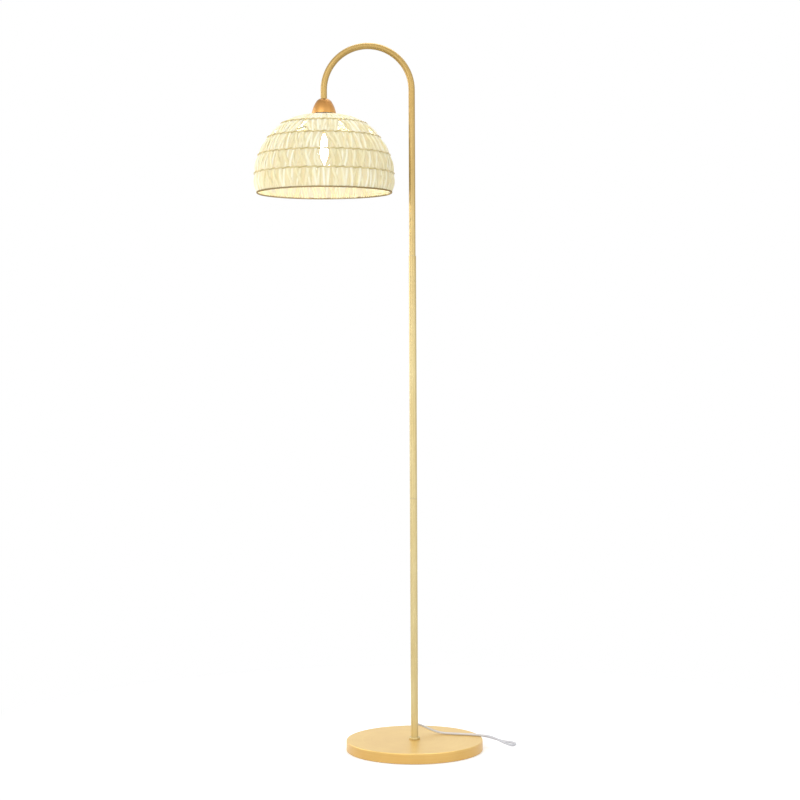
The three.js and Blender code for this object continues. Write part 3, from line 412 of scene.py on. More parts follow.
def floor():
    """The pale studio floor: it keeps the lamp's soft shadow and fades into the white surround."""
    mesh = bpy.data.meshes.new("floor")
    shape = bmesh.new()
    bmesh.ops.create_circle(shape, cap_ends=True, segments=96, radius=14)
    shape.to_mesh(mesh)
    shape.free()
    material, new, place = start_material("pale_studio_floor")
    path = new("LightPath").outputs
    seen = new("+", [path["Is Camera Ray"], path["Is Glossy Ray"]], use_clamp=True)
    paint = new("BsdfDiffuse", {"Color": "#F4F4F4"})
    lift = new("Emission", {"Color": "#FFFFFF", "Strength": new("*", [seen, 0.25])})
    near = new("AddShader", [paint, lift])
    # Past the lamp's shadow the floor shows the plain white of the surround
    reach = new("Vector LENGTH", [place["Object"]]).outputs["Value"]
    far = new("MapRange", [reach, 0.45, 1.1], interpolation_type="SMOOTHSTEP")
    white = new("Emission", {"Color": "#FFFFFF", "Strength": 1.0})
    new("OutputMaterial", {"Surface": new("MixShader", [new("*", [far, seen]), near, white])})
    mesh.materials.append(material)
    put("floor", mesh)


# Shapes


def smooth_line(points, step):
    """Points along a smooth centripetal curve through the given ones, about a step apart."""
    given = [Vector(p) for p in points]
    given = [2 * given[0] - given[1], *given, 2 * given[-1] - given[-2]]
    line = []
    for a, b, c, d in zip(given, given[1:], given[2:], given[3:]):
        t1 = (b - a).length ** 0.5
        t2 = t1 + (c - b).length ** 0.5
        t3 = t2 + (d - c).length ** 0.5
        count = max(1, round((c - b).length / step))
        for i in range(count):
            t = t1 + (t2 - t1) * i / count
            ab = a.lerp(b, t / t1)
            bc = b.lerp(c, (t - t1) / (t2 - t1))
            cd = c.lerp(d, (t - t2) / (t3 - t2))
            abc = ab.lerp(bc, t / t2)
            bcd = bc.lerp(cd, (t - t1) / (t3 - t1))
            line.append(abc.lerp(bcd, (t - t1) / (t2 - t1)))
    return [*line, given[-2]]


def soft_corners(outline, radius, steps=3):
    """A closed outline with each corner cut round. A corner on the axis stays."""
    points = [Vector(p) for p in outline]
    soft = []
    for i, corner in enumerate(points):
        before, after = points[i - 1] - corner, points[(i + 1) % len(points)] - corner
        if corner.x < 1e-6 or radius == 0 or before.angle(after) > radians(165):
            soft.append(corner)
            continue
        reach = min(radius, before.length * 0.45, after.length * 0.45)
        start, end = corner + before.normalized() * reach, corner + after.normalized() * reach
        for k in range(steps + 1):
            t = k / steps
            soft.append(start.lerp(corner, t).lerp(corner.lerp(end, t), t))
    return soft


def mesh_from(shape, smooth_angle=35):
    """A mesh from a bmesh, in metres, with its faces outwards and its edges sharp past an angle."""
    bmesh.ops.remove_doubles(shape, verts=shape.verts, dist=0.002)
    bmesh.ops.recalc_face_normals(shape, faces=shape.faces)
    shape.transform(Matrix.Scale(MM, 4))
    mesh = bpy.data.meshes.new("shape")
    shape.to_mesh(mesh)
    shape.free()
    mesh.shade_smooth()
    mesh.set_sharp_from_angle(angle=radians(smooth_angle))
    return mesh


def stitch_rings(shape, rings, closed, lengths):
    """Faces between rings of points, with a UV map in metres: round the ring, then along the rings. Where the
    rings don't close on themselves, the two ends get a face each."""
    uv = shape.loops.layers.uv.new("UVMap")
    sides = len(rings[0])
    pairs = list(zip(rings, rings[1:])) + ([(rings[-1], rings[0])] if closed else [])
    for i, (low, high) in enumerate(pairs):
        girth = sum((low[k].co - low[k - 1].co).length for k in range(sides)) * MM
        for k in range(sides):
            corners = [low[k], low[(k + 1) % sides], high[(k + 1) % sides], high[k]]
            if len({tuple(c.co) for c in corners}) < 3:
                continue
            face = shape.faces.new(corners)
            for loop, (u, v) in zip(face.loops, [(k, i), (k + 1, i), (k + 1, i + 1), (k, i + 1)]):
                loop[uv].uv = (girth * u / sides, lengths[v] * MM)
    if not closed:
        shape.faces.new(rings[0])
        shape.faces.new(rings[-1])


def turned(outline, sides, x=0.0, corner=0.25, smooth_angle=35):
    """A turned solid about an upright axis from a closed outline of (radius, height)."""
    shape = bmesh.new()
    soft = soft_corners(outline, corner)
    angles = [TURN * k / sides for k in range(sides)]
    rings, lengths = [], [0.0]
    for i, (radius, height) in enumerate(soft):
        rings.append([shape.verts.new((x + radius * cos(a), radius * sin(a), height)) for a in angles])
        lengths.append(lengths[-1] + (soft[i] - soft[(i + 1) % len(soft)]).length)
    stitch_rings(shape, rings, True, lengths)
    return mesh_from(shape, smooth_angle)


def tube(path, radii, sides, wall=0.0):
    """A tube along points, of one radius or one for each. With a wall it is hollow, otherwise closed."""
    shape = bmesh.new()
    points = [Vector(p) for p in path]
    radii = radii if isinstance(radii, list) else [radii] * len(points)
    angles = [TURN * k / sides for k in range(sides)]
    side = None
    frames = []
    for i, point in enumerate(points):
        along = (points[min(i + 1, len(points) - 1)] - points[max(i - 1, 0)]).normalized()
        side = side or (Vector((0, 0, 1)) if abs(along.z) < 0.9 else Vector((0, 1, 0)))
        side = (side - along * side.dot(along)).normalized()
        frames.append((point, side, along.cross(side)))

    def ring(i, radius):
        point, across, up = frames[i]
        return [shape.verts.new(point + across * radius * cos(a) + up * radius * sin(a)) for a in angles]

    steps = list(range(len(points)))
    rings = [ring(i, radii[i]) for i in steps]
    if wall:
        rings += [ring(i, radii[i] - wall) for i in reversed(steps)]
        steps += steps[::-1]
    lengths = [0.0]
    for a, b in zip(steps, steps[1:] + steps[:1]):
        lengths.append(lengths[-1] + (points[a] - points[b]).length)
    stitch_rings(shape, rings, bool(wall), lengths)
    return mesh_from(shape)


def lofted(centres, frames, sections, closed, steps=40):
    """A skin over sections: half sizes and squareness of each, from 1 for an ellipse to near 0 for a box."""
    shape = bmesh.new()
    rings, lengths = [], [0.0]
    for i, (centre, (across, up), (wide, tall, square)) in enumerate(zip(centres, frames, sections)):
        ring = []
        for k in range(steps):
            c, s = cos(TURN * k / steps), sin(TURN * k / steps)
            side = copysign(abs(c) ** square, c) * wide
            rise = copysign(abs(s) ** square, s) * tall
            ring.append(shape.verts.new(centre + across * side + up * rise))
        rings.append(ring)
        lengths.append(lengths[-1] + (centres[(i + 1) % len(centres)] - centre).length)
    stitch_rings(shape, rings, closed, lengths)
    return mesh_from(shape, 40)


def plain_mesh(carrier):
    """The mesh of an object with its modifier applied. The object itself goes."""
    depsgraph = bpy.context.evaluated_depsgraph_get()
    mesh = bpy.data.meshes.new_from_object(carrier.evaluated_get(depsgraph), depsgraph=depsgraph)
    bpy.data.objects.remove(carrier)
    return mesh


def cut_out(mesh, cutter):
    """A mesh with another mesh's space cut out of it."""
    solid, tool = put("blank", mesh), put("cutter", cutter)
    modifier = solid.modifiers.new("Cut", "BOOLEAN")
    modifier.object = tool
    modifier.solver = "EXACT"
    result = plain_mesh(solid)
    bpy.data.objects.remove(tool)
    return result


def piece(name, mesh, slot, *replaced, material=None, body="root"):
    """A finished piece: its object at the origin, with the slot's finish or one of its own, made a child of
    its body's empty. The CAD nodes it stands for are hidden."""
    mesh.name = name
    mesh.materials.clear()
    mesh.materials.append(material or FINISHES[slot])
    made = put(name, mesh)
    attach(made, body)
    if replaced:
        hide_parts(*replaced)
    return made


def heights(node):
    """The lowest and the highest height of one of the frame's solids."""
    return [corner.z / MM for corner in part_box(node)]


# Trees of geometry nodes


def geometry_tree(name, sizes, counts=""):
    """An empty tree with a geometry output, the function that adds to it, and its named inputs."""
    tree = bpy.data.node_groups.new(name, "GeometryNodeTree")
    tree.interface.new_socket("Geometry", in_out="OUTPUT", socket_type="NodeSocketGeometry")
    for names, kind in ((sizes, "Float"), (counts, "Int"), ("Material", "Material")):
        for each in filter(None, names.split(", ")):
            tree.interface.new_socket(each, in_out="INPUT", socket_type="NodeSocket" + kind)
    new = partial(add, tree)
    return tree, new, new("GroupInput").outputs


def finish_tree(new, geometry, size):
    """Ends a tree in real geometry with its material."""
    real = new("RealizeInstances", [geometry])
    new("GroupOutput", [new("SetMaterial", {"Geometry": real, "Material": size["Material"]})])


def grown(name, tree, slot, sizes, *replaced, material=None, body="root"):
    """A piece whose plain mesh a tree makes from its named sizes. Sizes left out are zero."""
    carrier = put("carrier", bpy.data.meshes.new("carrier"))
    modifier = carrier.modifiers.new("Grow", "NODES")
    modifier.node_group = tree
    values = {**sizes, "Material": material or FINISHES[slot]}
    for item in tree.interface.items_tree:
        if item.name in values:
            modifier[item.identifier] = values[item.name]
    mesh = plain_mesh(carrier)
    shape = bmesh.new()
    shape.from_mesh(mesh)
    bmesh.ops.recalc_face_normals(shape, faces=shape.faces)
    shape.to_mesh(mesh)
    shape.free()
    mesh.shade_smooth()
    mesh.set_sharp_from_angle(angle=radians(50))
    piece(name, mesh, slot, *replaced, material=material, body=body)


def wound(new, lines, reach, height, angle):
    """Lines put in place by reach from the shade's axis, height, and angle about the axis."""
    spot = new("CombineXYZ", [reach, 0.0, height])
    spot = new("VectorRotate", {"Vector": spot, "Angle": angle}, rotation_type="Z_AXIS")
    spot = new("Vector +", [spot, SHADE_AXIS])
    return new("SetPosition", {"Geometry": lines, "Position": spot})


def strand_mesh(new, lines, radius, sides, strand, scale=1.0):
    """Round strands on lines, with the attributes that place their fibres: along, around, and strand. The
    strand value also sets each strand's tone, which in the tiers carries painted shade.
    """
    length = new("SplineParameter").outputs["Length"]
    lines = new("StoreNamedAttribute", {"Geometry": lines, "Name": "along", "Value": length})
    lines = new("StoreNamedAttribute", {"Geometry": lines, "Name": "strand", "Value": strand})
    profile = new("CurvePrimitiveCircle", {"Resolution": sides, "Radius": radius})
    girth = new("SplineParameter").outputs["Factor"]
    profile = new("StoreNamedAttribute", {"Geometry": profile, "Name": "around", "Value": girth})
    return new("CurveToMesh", {"Curve": lines, "Profile Curve": profile, "Scale": scale, "Fill Caps": True})


def rod(new, line, radius, sides):
    """A plain round rod on a line."""
    profile = new("CurvePrimitiveCircle", {"Resolution": sides, "Radius": radius})
    return new("CurveToMesh", {"Curve": line, "Profile Curve": profile, "Fill Caps": True})


def woven_tree():
    """One tier of strands between two hoops. Each column holds two bundles, one leaning each way, which cross
    halfway on two layers. They lean by amounts that differ from column to column, and can part round
    openings. An opening's width goes from the one at its top to the one at its bottom, with a waist added
    halfway, and an overhang takes its amount off all of it, down to nothing."""
    tree, new, size = geometry_tree(
        "woven_tier",
        "Top Radius, Top Height, Bottom Radius, Bottom Height, Bulge Out, Bulge Up, Strand Radius, Lay, "
        "Lift, Fullness, Lean, Uneven, Openings, Opening Top, Opening Waist, Opening Bottom, Overhang, "
        "Crowding, Turn",
        "Columns, Strands, Steps, Seed")

    def between(share, one, other):
        return new("Mix", {0: share, 2: one, 3: other})

    def chance(of, low=0.0, high=1.0):
        return new("RandomValue", {2: low, 3: high, "ID": of, "Seed": size["Seed"]})

    line = new("CurvePrimitiveLine", {"End": (0, 0, 1)})
    line = new("ResampleCurve", {"Curve": line, "Count": size["Steps"]})
    amount = new("*", [size["Columns"], size["Strands"]])
    copies = new("DuplicateElements", {"Geometry": line, "Amount": amount}, domain="SPLINE")
    index = copies.outputs["Duplicate Index"]
    share = new("SplineParameter").outputs["Factor"]
    # Which column, which bundle in it (-1 or 1), and which strand of the bundle, counted from its middle
    column = new("FLOOR", [new("/", [index, size["Strands"]])])
    within = new("-", [index, new("*", [column, size["Strands"]])])
    half = new("/", [size["Strands"], 2.0])
    bundle = new("FLOOR", [new("/", [within, half])])
    side = new("*+", [bundle, 2.0, -1.0])
    strand = new("-", [within, new("*", [bundle, half])])
    offset = new("-", [strand, new("*+", [half, 0.5, -0.5])])
    # Radius and height on the way down, with the tier's bulge
    swell = new("SINE", [new("*", [share, pi])])
    wall = new("*+", [swell, size["Bulge Out"], between(share, size["Top Radius"], size["Bottom Radius"])])
    height = new("*+", [swell, size["Bulge Up"], between(share, size["Top Height"], size["Bottom Height"])])
    # The bundles part into two layers where they cross, and each is fuller in its middle than at its edges
    layer = new("*", [new("*", [swell, side]), size["Lift"]])
    edge = new("/", [offset, half])
    edge = new("*", [edge, edge])
    layer = new("-", [layer, new("*", [edge, size["Fullness"]])])
    loose = chance(index, -0.0003, 0.0003)
    reach = new("+", [wall, new("*+", [swell, loose, layer])])
    # A bundle leaves its hoop square and leans over to the other side of its column, by an amount of its own.
    # In about half of the columns the square end is the lower one.
    own_lean = chance(new("*+", [column, 2.0, bundle]))
    lean = new("-", [size["Lean"], new("*", [own_lean, size["Uneven"]])])
    flip = new("GREATER_THAN", [chance(column), 0.5])
    walked = between(flip, share, new("-", [1.0, share]))
    eased = new("MapRange", [walked], interpolation_type="SMOOTHSTEP")
    way = between(0.5, walked, eased)
    swing = new("*", [side, new("*+", [lean, way, -0.5])])
    pitch = new("/", [TURN, size["Columns"]])
    widest = new("MAXIMUM", [size["Top Radius"], size["Bottom Radius"]])
    lay = new("/", [size["Lay"], widest])
    room = new("-", [pitch, new("*", [half, lay])])
    home = new("*", [new("+", [column, 0.5]), pitch])
    # Away from the nearest opening's middle, by less the further off the column is
    cell = new("*+", [new("*", [home, 1 / TURN]), size["Openings"], 0.5])
    off = new("-", [cell, new("ROUND", [cell])])
    far = new("*", [new("ABSOLUTE", [off]), size["Crowding"]])
    nearness = new("*+", [far, -2.0, 1.0], use_clamp=True)
    width = between(share, size["Opening Top"], size["Opening Bottom"])
    width = new("*+", [swell, size["Opening Waist"], width])
    width = new("MAXIMUM", [new("-", [width, size["Overhang"]]), 0.0])
    half_open = new("*", [new("/", [width, widest]), 0.5])
    push = new("*", [new("SIGN", [off]), nearness])
    push = new("*+", [push, half_open, size["Turn"]])
    angle = new("*+", [swing, room, new("+", [home, push])])
    angle = new("*+", [offset, lay, angle])
    lines = wound(new, copies, reach, height, angle)
    # Strands of a bundle come from one hank of cane and are near in tone; painted shade makes them darker
    # towards the bundle's edges
    tone = new("*", [between(0.3, own_lean, chance(index)), new("*+", [edge, -4.0, 1.0])])
    drawn = new("/", [wall, widest])
    finish_tree(new, strand_mesh(new, lines, size["Strand Radius"], 7, tone, drawn), size)
    return tree


def twined_tree():
    """A hoop with weavers that wind round it: two in long turns where they twine the strands in, or one in
    many close turns where the rim is whipped."""
    tree, new, size = geometry_tree(
        "twined_hoop", "Hoop Radius, Height, Core Radius, Weaver Radius, Swing Out, Swing Up",
        "Turns, Weavers, Steps")
    count = new("*", [size["Turns"], size["Steps"]])
    circle = new("CurvePrimitiveCircle", {"Resolution": count, "Radius": 1.0})
    copies = new("DuplicateElements", {"Geometry": circle, "Amount": size["Weavers"]}, domain="SPLINE")
    share = new("SplineParameter").outputs["Factor"]
    start = new("/", [copies.outputs["Duplicate Index"], size["Weavers"]])
    phase = new("*", [new("*+", [share, size["Turns"], start]), TURN])
    reach = new("*+", [new("COSINE", [phase]), size["Swing Out"], size["Hoop Radius"]])
    height = new("*+", [new("SINE", [phase]), size["Swing Up"], size["Height"]])
    lines = wound(new, copies, reach, height, new("*", [share, TURN]))
    weavers = strand_mesh(new, lines, size["Weaver Radius"], 7, start)
    line = new("CurvePrimitiveCircle", {"Resolution": 96, "Radius": size["Hoop Radius"]})
    place = new("CombineXYZ", [SHADE_AXIS[0], 0.0, size["Height"]])
    line = new("SetPosition", {"Geometry": line, "Offset": place})
    core = strand_mesh(new, line, size["Core Radius"], 8, 0.5)
    finish_tree(new, new("JoinGeometry", [[weavers, core]]), size)
    return tree


def ribs_tree():
    """Round ribs that stand in a ring about the shade's axis, for grips."""
    tree, new, size = geometry_tree("ring_of_ribs", "Ring Radius, Bottom, Top, Rib Radius", "Count")
    ring = new("MeshCircle", {"Vertices": size["Count"], "Radius": size["Ring Radius"]})
    points = new("SetPosition", {"Geometry": ring, "Offset": SHADE_AXIS})
    foot, head = (new("CombineXYZ", [0.0, 0.0, size[end]]) for end in ("Bottom", "Top"))
    rib = rod(new, new("CurvePrimitiveLine", {"Start": foot, "End": head}), size["Rib Radius"], 12)
    finish_tree(new, new("InstanceOnPoints", {"Points": points, "Instance": rib}), size)
    return tree


def thread_tree():
    """A screw thread's round ridge, wound about the shade's axis."""
    tree, new, size = geometry_tree("thread_ridge", "Radius, Bottom, Height, Turns, Ridge Radius")
    spiral = new("CurveSpiral", {
        "Resolution": 48, "Rotations": size["Turns"], "Height": size["Height"],
        "Start Radius": size["Radius"], "End Radius": size["Radius"],
    })
    place = new("CombineXYZ", [SHADE_AXIS[0], 0.0, size["Bottom"]])
    spiral = new("SetPosition", {"Geometry": spiral, "Offset": place})
    finish_tree(new, rod(new, spiral, size["Ridge Radius"], 10), size)
    return tree


# Cord: the fixed frame's own route, in millimetres, from the strain relief to the plug

RUN_ROUTE = [
    (0.9, 37.6, 47.9), (4.1, 44.9, 47.1), (9.3, 51, 45.2), (16, 55.3, 42), (24.2, 57.4, 38),
    (33.2, 57, 33.8), (43, 54.6, 30.2), (53.6, 51.2, 27.5), (65.5, 47.4, 26), (80.5, 43.4, 25.7),
    (99, 38.8, 25.7), (118, 34.2, 25.7), (134, 28.8, 25.7), (147, 24, 25.7), (159, 20.6, 25.1),
    (171, 18.8, 22.6), (182, 18.4, 18), (193, 18.8, 12.4), (202.5, 20.1, 7.6), (210.2, 22.4, 4.7),
    (217.5, 27.2, 3), (222.6, 34.3, 2.5), (224.5, 42.8, 2.5), (222.6, 51.5, 2.5), (217.2, 58.6, 2.5),
    (209.5, 63.6, 2.5), (201.5, 69, 2.5), (194, 77.5, 2.5), (186.5, 90, 2.5), (178, 104, 2.5),
    (168, 118.5, 2.5), (155, 132, 2.5), (138, 142.5, 2.5), (117, 149, 2.5), (90, 151.7, 2.5),
    (64, 151.6, 2.5),
]
TAIL_ROUTE = [
    (-46, 151.6, 7.8), (-54, 151.4, 7), (-63, 150.5, 6.3), (-73, 148.4, 6.4), (-81, 145.2, 6.9),
]
RELIEF_END = 30.6
PLUG_START = Vector((-86.0, 142.2, 7.0))
PLUG_ALONG = Vector((cos(radians(218)), sin(radians(218)), 0))
HANK_LOOPS = 2
HANK_FOLD = 15.0
HANK_RUN = 70.0
HANK_STEP = 5.65
HANK_LAYER = 5.6
HANK_WAIST = 5.0
HANK_BACK = 178.4
TIE_ROOM = 1.4
TIE_WIDTH = 9.0
TIE_THICKNESS = 0.8


def hank_point(turn):
    """The middle of the folded cord at a turn number, counted from the middle of its climb between layers. A
    turn has two straight runs of a sixth of it each, drawn in at the tie, and two folds of a third each."""
    radius = HANK_FOLD + HANK_STEP * abs(turn)
    share = turn % 1
    half = HANK_RUN / 2
    waist = 0.0
    if share < 1 / 12 or share >= 11 / 12:
        way = (share if share < 1 / 12 else share - 1) * 6
        waist = cos(pi * way) ** 2
        x, y = -HANK_RUN * way, -radius + HANK_WAIST * waist
    elif share < 5 / 12:
        angle = pi * (share - 1 / 12) * 3
        x, y = -half - radius * sin(angle), -radius * cos(angle)
    elif share < 7 / 12:
        way = (share - 0.5) * 6
        waist = cos(pi * way) ** 2
        x, y = HANK_RUN * way, radius - HANK_WAIST * waist
    else:
        angle = pi * (share - 7 / 12) * 3
        x, y = half + radius * sin(angle), radius * cos(angle)
    climb = min(1.0, max(0.0, turn * 6 + 0.5))
    climb = climb * climb * (3 - 2 * climb)
    return Vector((x, y + HANK_BACK, CORD_RADIUS + HANK_LAYER * climb + TIE_ROOM * waist))


def cord_line():
    """The cord's middle line from the strain relief's tip to the plug's."""
    last_turn = HANK_LOOPS + 1 / 12
    steps = 200
    hank = [hank_point(-last_turn + 2 * last_turn * i / steps) for i in range(steps + 1)]
    start = CORD_EXIT * RELIEF_END + CORD_ORIGIN
    lead_in = hank[0] + Vector((2 * CORD_RADIUS, 0, 0))
    lead_out = hank[-1] - Vector((2 * CORD_RADIUS, 0, 0))
    run = smooth_line([start, *RUN_ROUTE, lead_in + Vector((4 * CORD_RADIUS, 0, 0)), lead_in], 3.0)
    tail = smooth_line([lead_out, *TAIL_ROUTE, PLUG_START], 3.0)
    return run + hank + tail


def plug():
    """The moulded plug: a ribbed neck that bends with the cord, and a soft body with grip ridges on its two
    broad faces. Each section is its distance along the plug, its half sizes and its squareness."""
    sections = [(0.2, 3, 3, 1)]
    for i in range(6):
        for reach, more in ((0, 0), (1.3, 0.05), (1.5, -0.5), (2.1, -0.45)):
            girth = 3.3 + 0.22 * i + more
            sections.append((1.0 + 2.3 * i + reach, girth, girth, 1))
    sections += [(15.2, 4.5, 4.5, 1), (16, 7.6, 4.6, 0.6), (16.4, 9.6, 5.6, 0.45), (17.4, 10.8, 6.6, 0.4),
                 (19, 11, 7, 0.38)]
    for i in range(5):
        for reach, wide, tall in ((0, 10.8, 6.9), (0.3, 10.7, 6.3), (1.2, 10.7, 6.3), (1.5, 10.8, 6.9)):
            sections.append((21.0 + 2.6 * i + reach, wide, tall, 0.38))
    sections += [(36, 11, 7, 0.38), (40.6, 11, 7, 0.38), (41.5, 10.6, 6.6, 0.4),
                 (41.9, 9.8, 5.8, 0.42)]
    across = Vector((-PLUG_ALONG.y, PLUG_ALONG.x, 0))
    centres = [PLUG_START + PLUG_ALONG * reach for reach, *size in sections]
    frames = [(across, Vector((0, 0, 1)))] * len(sections)
    made = lofted(centres, frames, [size for reach, *size in sections], False)
    return piece("moulded_plug", made, "cord_plastic", "plug_body")


def tie():
    """The tie round the hank: a strap with soft edges, bent to a rectangle with round corners."""
    room = HANK_WAIST * TIE_WIDTH / HANK_RUN + CORD_RADIUS + 0.3
    near = hank_point(-HANK_LOOPS).y - room - TIE_THICKNESS / 2
    far = hank_point(0.5 - HANK_LOOPS).y + room + TIE_THICKNESS / 2
    low = TIE_THICKNESS / 2
    high = 2 * CORD_RADIUS + HANK_LAYER + 1.5 * TIE_THICKNESS + 0.9
    bend = CORD_RADIUS - TIE_THICKNESS / 2
    corners = [(far, low, -90), (far, high, 0), (near, high, 90), (near, low, 180)]
    centres, frames = [], []
    for y, z, start in corners:
        hub = Vector((0, y - copysign(bend, y - HANK_BACK), z - copysign(bend, z - high / 2)))
        for k in range(7):
            angle = radians(start + 15 * k)
            out = Vector((0, cos(angle), sin(angle)))
            centres.append(hub + out * bend)
            frames.append((Vector((1, 0, 0)), out))
    sections = [(TIE_WIDTH / 2, TIE_THICKNESS / 2, 0.3)] * len(centres)
    return piece("hank_strap", lofted(centres, frames, sections, True, 28), "foam", "hank_tie")


def cord():
    """The mains cord on its one smooth route, with the tie round its hank and the plug on its end."""
    line = cord_line()
    lead = tube(line, CORD_RADIUS, 14)
    lead = piece("mains_cord", lead, "cord_plastic", "cord_run", "cord_hank", "cord_tail")
    tie()
    plug()


# The other pieces


def base_and_pole():
    """The spun cover, the collar, the pole's three tubes, and the pad that they stand on."""
    angles = [pi * i / 16 for i in range(9)]
    edge = [(BASE_RADIUS - BASE_EDGE + BASE_EDGE * sin(a), BASE_TOP - BASE_EDGE + BASE_EDGE * cos(a))
            for a in angles]
    rim = [(BASE_RADIUS, 1.1), (BASE_RADIUS - 0.3, 0.8), (BASE_RADIUS - TUBE_WALL, 0.8)]
    inside = [(BASE_RADIUS - TUBE_WALL, BASE_TOP - TUBE_WALL), (4.3, BASE_TOP - TUBE_WALL), (4.3, BASE_TOP)]
    # The cover's top has a few rings of points so that its shading stays flat up to the edge
    top = [(r, BASE_TOP) for r in (40.0, 90.0, 130.0, 146.0)]
    piece("spun_cover", turned([*inside, *top, *edge, *rim], 160, corner=0), "brass_base", "base_cover")
    foot = BASE_TOP + 0.3
    collar = [(8.3, foot), (12, foot), (12, foot + 3.6), (11.4, foot + 4.6), (10, foot + 5), (8.3, foot + 5)]
    piece("foot_collar", turned(collar, 64, corner=0.4), "brass_tube", "pole_collar")
    first, second = POLE_JOINTS
    lower = tube([(0, 0, z) for z in (foot, 60, 250, 420, first - JOINT_GAP)], POLE_RADIUS, 48, TUBE_WALL)
    drill = tube([CORD_ORIGIN, CORD_ORIGIN + CORD_EXIT * 12], 3.9, 24)
    piece("lower_tube", cut_out(lower, drill), "brass_tube", "pole_lower")
    path = [(0, 0, z) for z in (first + JOINT_GAP, 700, 900, second - JOINT_GAP)]
    piece("middle_tube", tube(path, POLE_RADIUS, 48, TUBE_WALL), "brass_tube", "pole_middle")
    angles = [pi * i / 64 for i in range(65)]
    bend = [(ARCH_RADIUS * (cos(a) - 1), 0, ARCH_CENTRE + ARCH_RADIUS * sin(a)) for a in angles]
    path = [(0, 0, second + JOINT_GAP), (0, 0, 1200), (0, 0, 1340), *bend, (SHADE_X, 0, CAP_TOP + 0.3)]
    piece("bent_tube", tube(path, ARCH_TUBE_RADIUS, 48, TUBE_WALL), "brass_tube", "arch_tube")
    pad = turned([(0, 0), (146, 0), (146, 1.8), (0, 1.8)], 128, corner=0.4)
    piece("rest_pad", pad, "foam", "base_pad")


def bell_and_holder():
    """The bell cap, the lampholder's body with its thread ridges, and the ring nut with its grips."""
    shares = [(0, 0), (0.12, 0.3), (0.3, 0.53), (0.55, 0.76), (0.8, 0.91), (1, 1)]
    outer = [(CAP_NECK + CAP_FLARE * swell, CAP_TOP - CAP_DEPTH * drop, 0) for drop, swell in shares]
    inner = [(radius - CAP_WALL, height, 0) for radius, height, _ in outer[2:]]
    outside = [(p.x, p.y) for p in smooth_line(outer, 1.2)]
    inside = [(p.x, p.y) for p in smooth_line(inner, 2.0)][::-1]
    crest = [(8.3, CAP_TOP - 3), (5.3, CAP_TOP - 3), (5.3, CAP_TOP)]
    piece("bell", turned([*inside, *crest, *outside], 96, SHADE_X, 0.15), "brass_cap", "shade_cap")
    low, high = heights("holder_body")
    flange = heights("shade_spider")[1] + 0.3
    walls = [(17, low), (19, low)]
    # Moulded thread under the flange, as plain rings 2 mm apart
    step = 1.0
    z = low + 1.5
    while z < flange - 6:
        walls += [(19, z), (18.5, z + step / 2)]
        z += 2 * step
    walls += [(19, z), (19, flange), (22.5, flange), (22.5, flange + 2), (19, flange + 2), (19, high),
              (17, high)]
    key_z = sum(heights("holder_switch_key")) / 2
    drill = tube([(SHADE_X, -15, key_z), (SHADE_X, -21, key_z)], 2.1, 24)
    body = cut_out(turned(walls, 64, SHADE_X, 0.2), drill)
    piece("holder_sleeve", body, "holder_plastic", "holder_body")
    low, high = heights("shade_ring_nut")
    nut = [(19.3, low), (22, low), (22, high - 3), (24.3, high - 3), (24.3, high), (19.3, high)]
    grown("ring_nut_grips", RIBS, "holder_plastic", {
        "Count": 36, "Ring Radius": 22 * MM, "Bottom": (low + 0.6) * MM, "Top": (high - 3) * MM,
        "Rib Radius": 0.8 * MM,
    }, body="ring_nut")
    nut = turned(nut, 72, SHADE_X, 0.4)
    piece("ring_nut", nut, "holder_plastic", "shade_ring_nut", body="ring_nut")


def spider():
    """The shade's carrier: a pressed ring and four wire arms, each with its end bent down behind the hoop."""
    top = heights("shade_spider")[1]
    ring = [(19.3, top - 2), (24.3, top - 2), (24.3, top), (19.3, top)]
    piece("spider_ring", turned(ring, 64, SHADE_X, 0.3), "zinc_steel", "shade_spider")
    arm = [(23.4, top - 0.6), (30, top - 0.6), (60, top - 2.6), (84, top - 4.4), (88, top - 5.2)]
    for i in range(4):
        angle = radians(45 + 90 * i)
        out = Vector((cos(angle), sin(angle), 0))
        line = smooth_line([Vector((SHADE_X, 0, z)) + out * r for r, z in arm], 3.0)
        piece(f"spider_arm_{i + 1}", tube(line, 1.5, 12), "zinc_steel")


def bulb():
    """The bulb: glass with its smooth neck, and the screw cap with its rolled thread."""
    low, high = heights("bulb_glass")
    cap_low, cap_high = heights("bulb_screw_cap")
    centre = low + GLASS_RADIUS
    angles = [0.62 * pi * i / 28 for i in range(29)]
    points = [(GLASS_RADIUS * sin(a), centre - GLASS_RADIUS * cos(a)) for a in angles]
    edge_r, edge_z = points[-1]
    rise = cap_low - 0.3 - edge_z
    for i in range(1, 15):
        share = i / 14
        points.append((edge_r + (NECK_RADIUS - edge_r) * sin(share * pi / 2), edge_z + rise * share))
    points.append((NECK_RADIUS, high))
    shell = [*points, *[(max(0.0, r - 1), z + (1 if r == 0 else 0)) for r, z in reversed(points)]]
    shell = turned(shell, 72, SHADE_X, 0, smooth_angle=60)
    piece("bulb_envelope", shell, "opal_glass", "bulb_glass", body="bulb")
    wall = [(12.7, cap_low), (12.9, cap_low), (12.5, cap_low + 2), (12.5, cap_high - 2.5), (12, cap_high - 1),
            (11, cap_high), (5.9, cap_high), (5.9, cap_high - 1.2), (10.8, cap_high - 2.4),
            (11.7, high + 0.3), (12.1, high + 0.3), (12.1, cap_low + 1)]
    wall = turned(wall, 64, SHADE_X, 0.1)
    piece("bulb_thread_core", wall, "brass_fittings", "bulb_screw_cap", body="bulb")
    grown("bulb_thread", THREAD, "brass_fittings", {
        "Radius": 12.3 * MM, "Bottom": (cap_low + 3.4) * MM, "Height": 14.5 * MM, "Turns": 4.0,
        "Ridge Radius": 0.85 * MM,
    }, body="bulb")


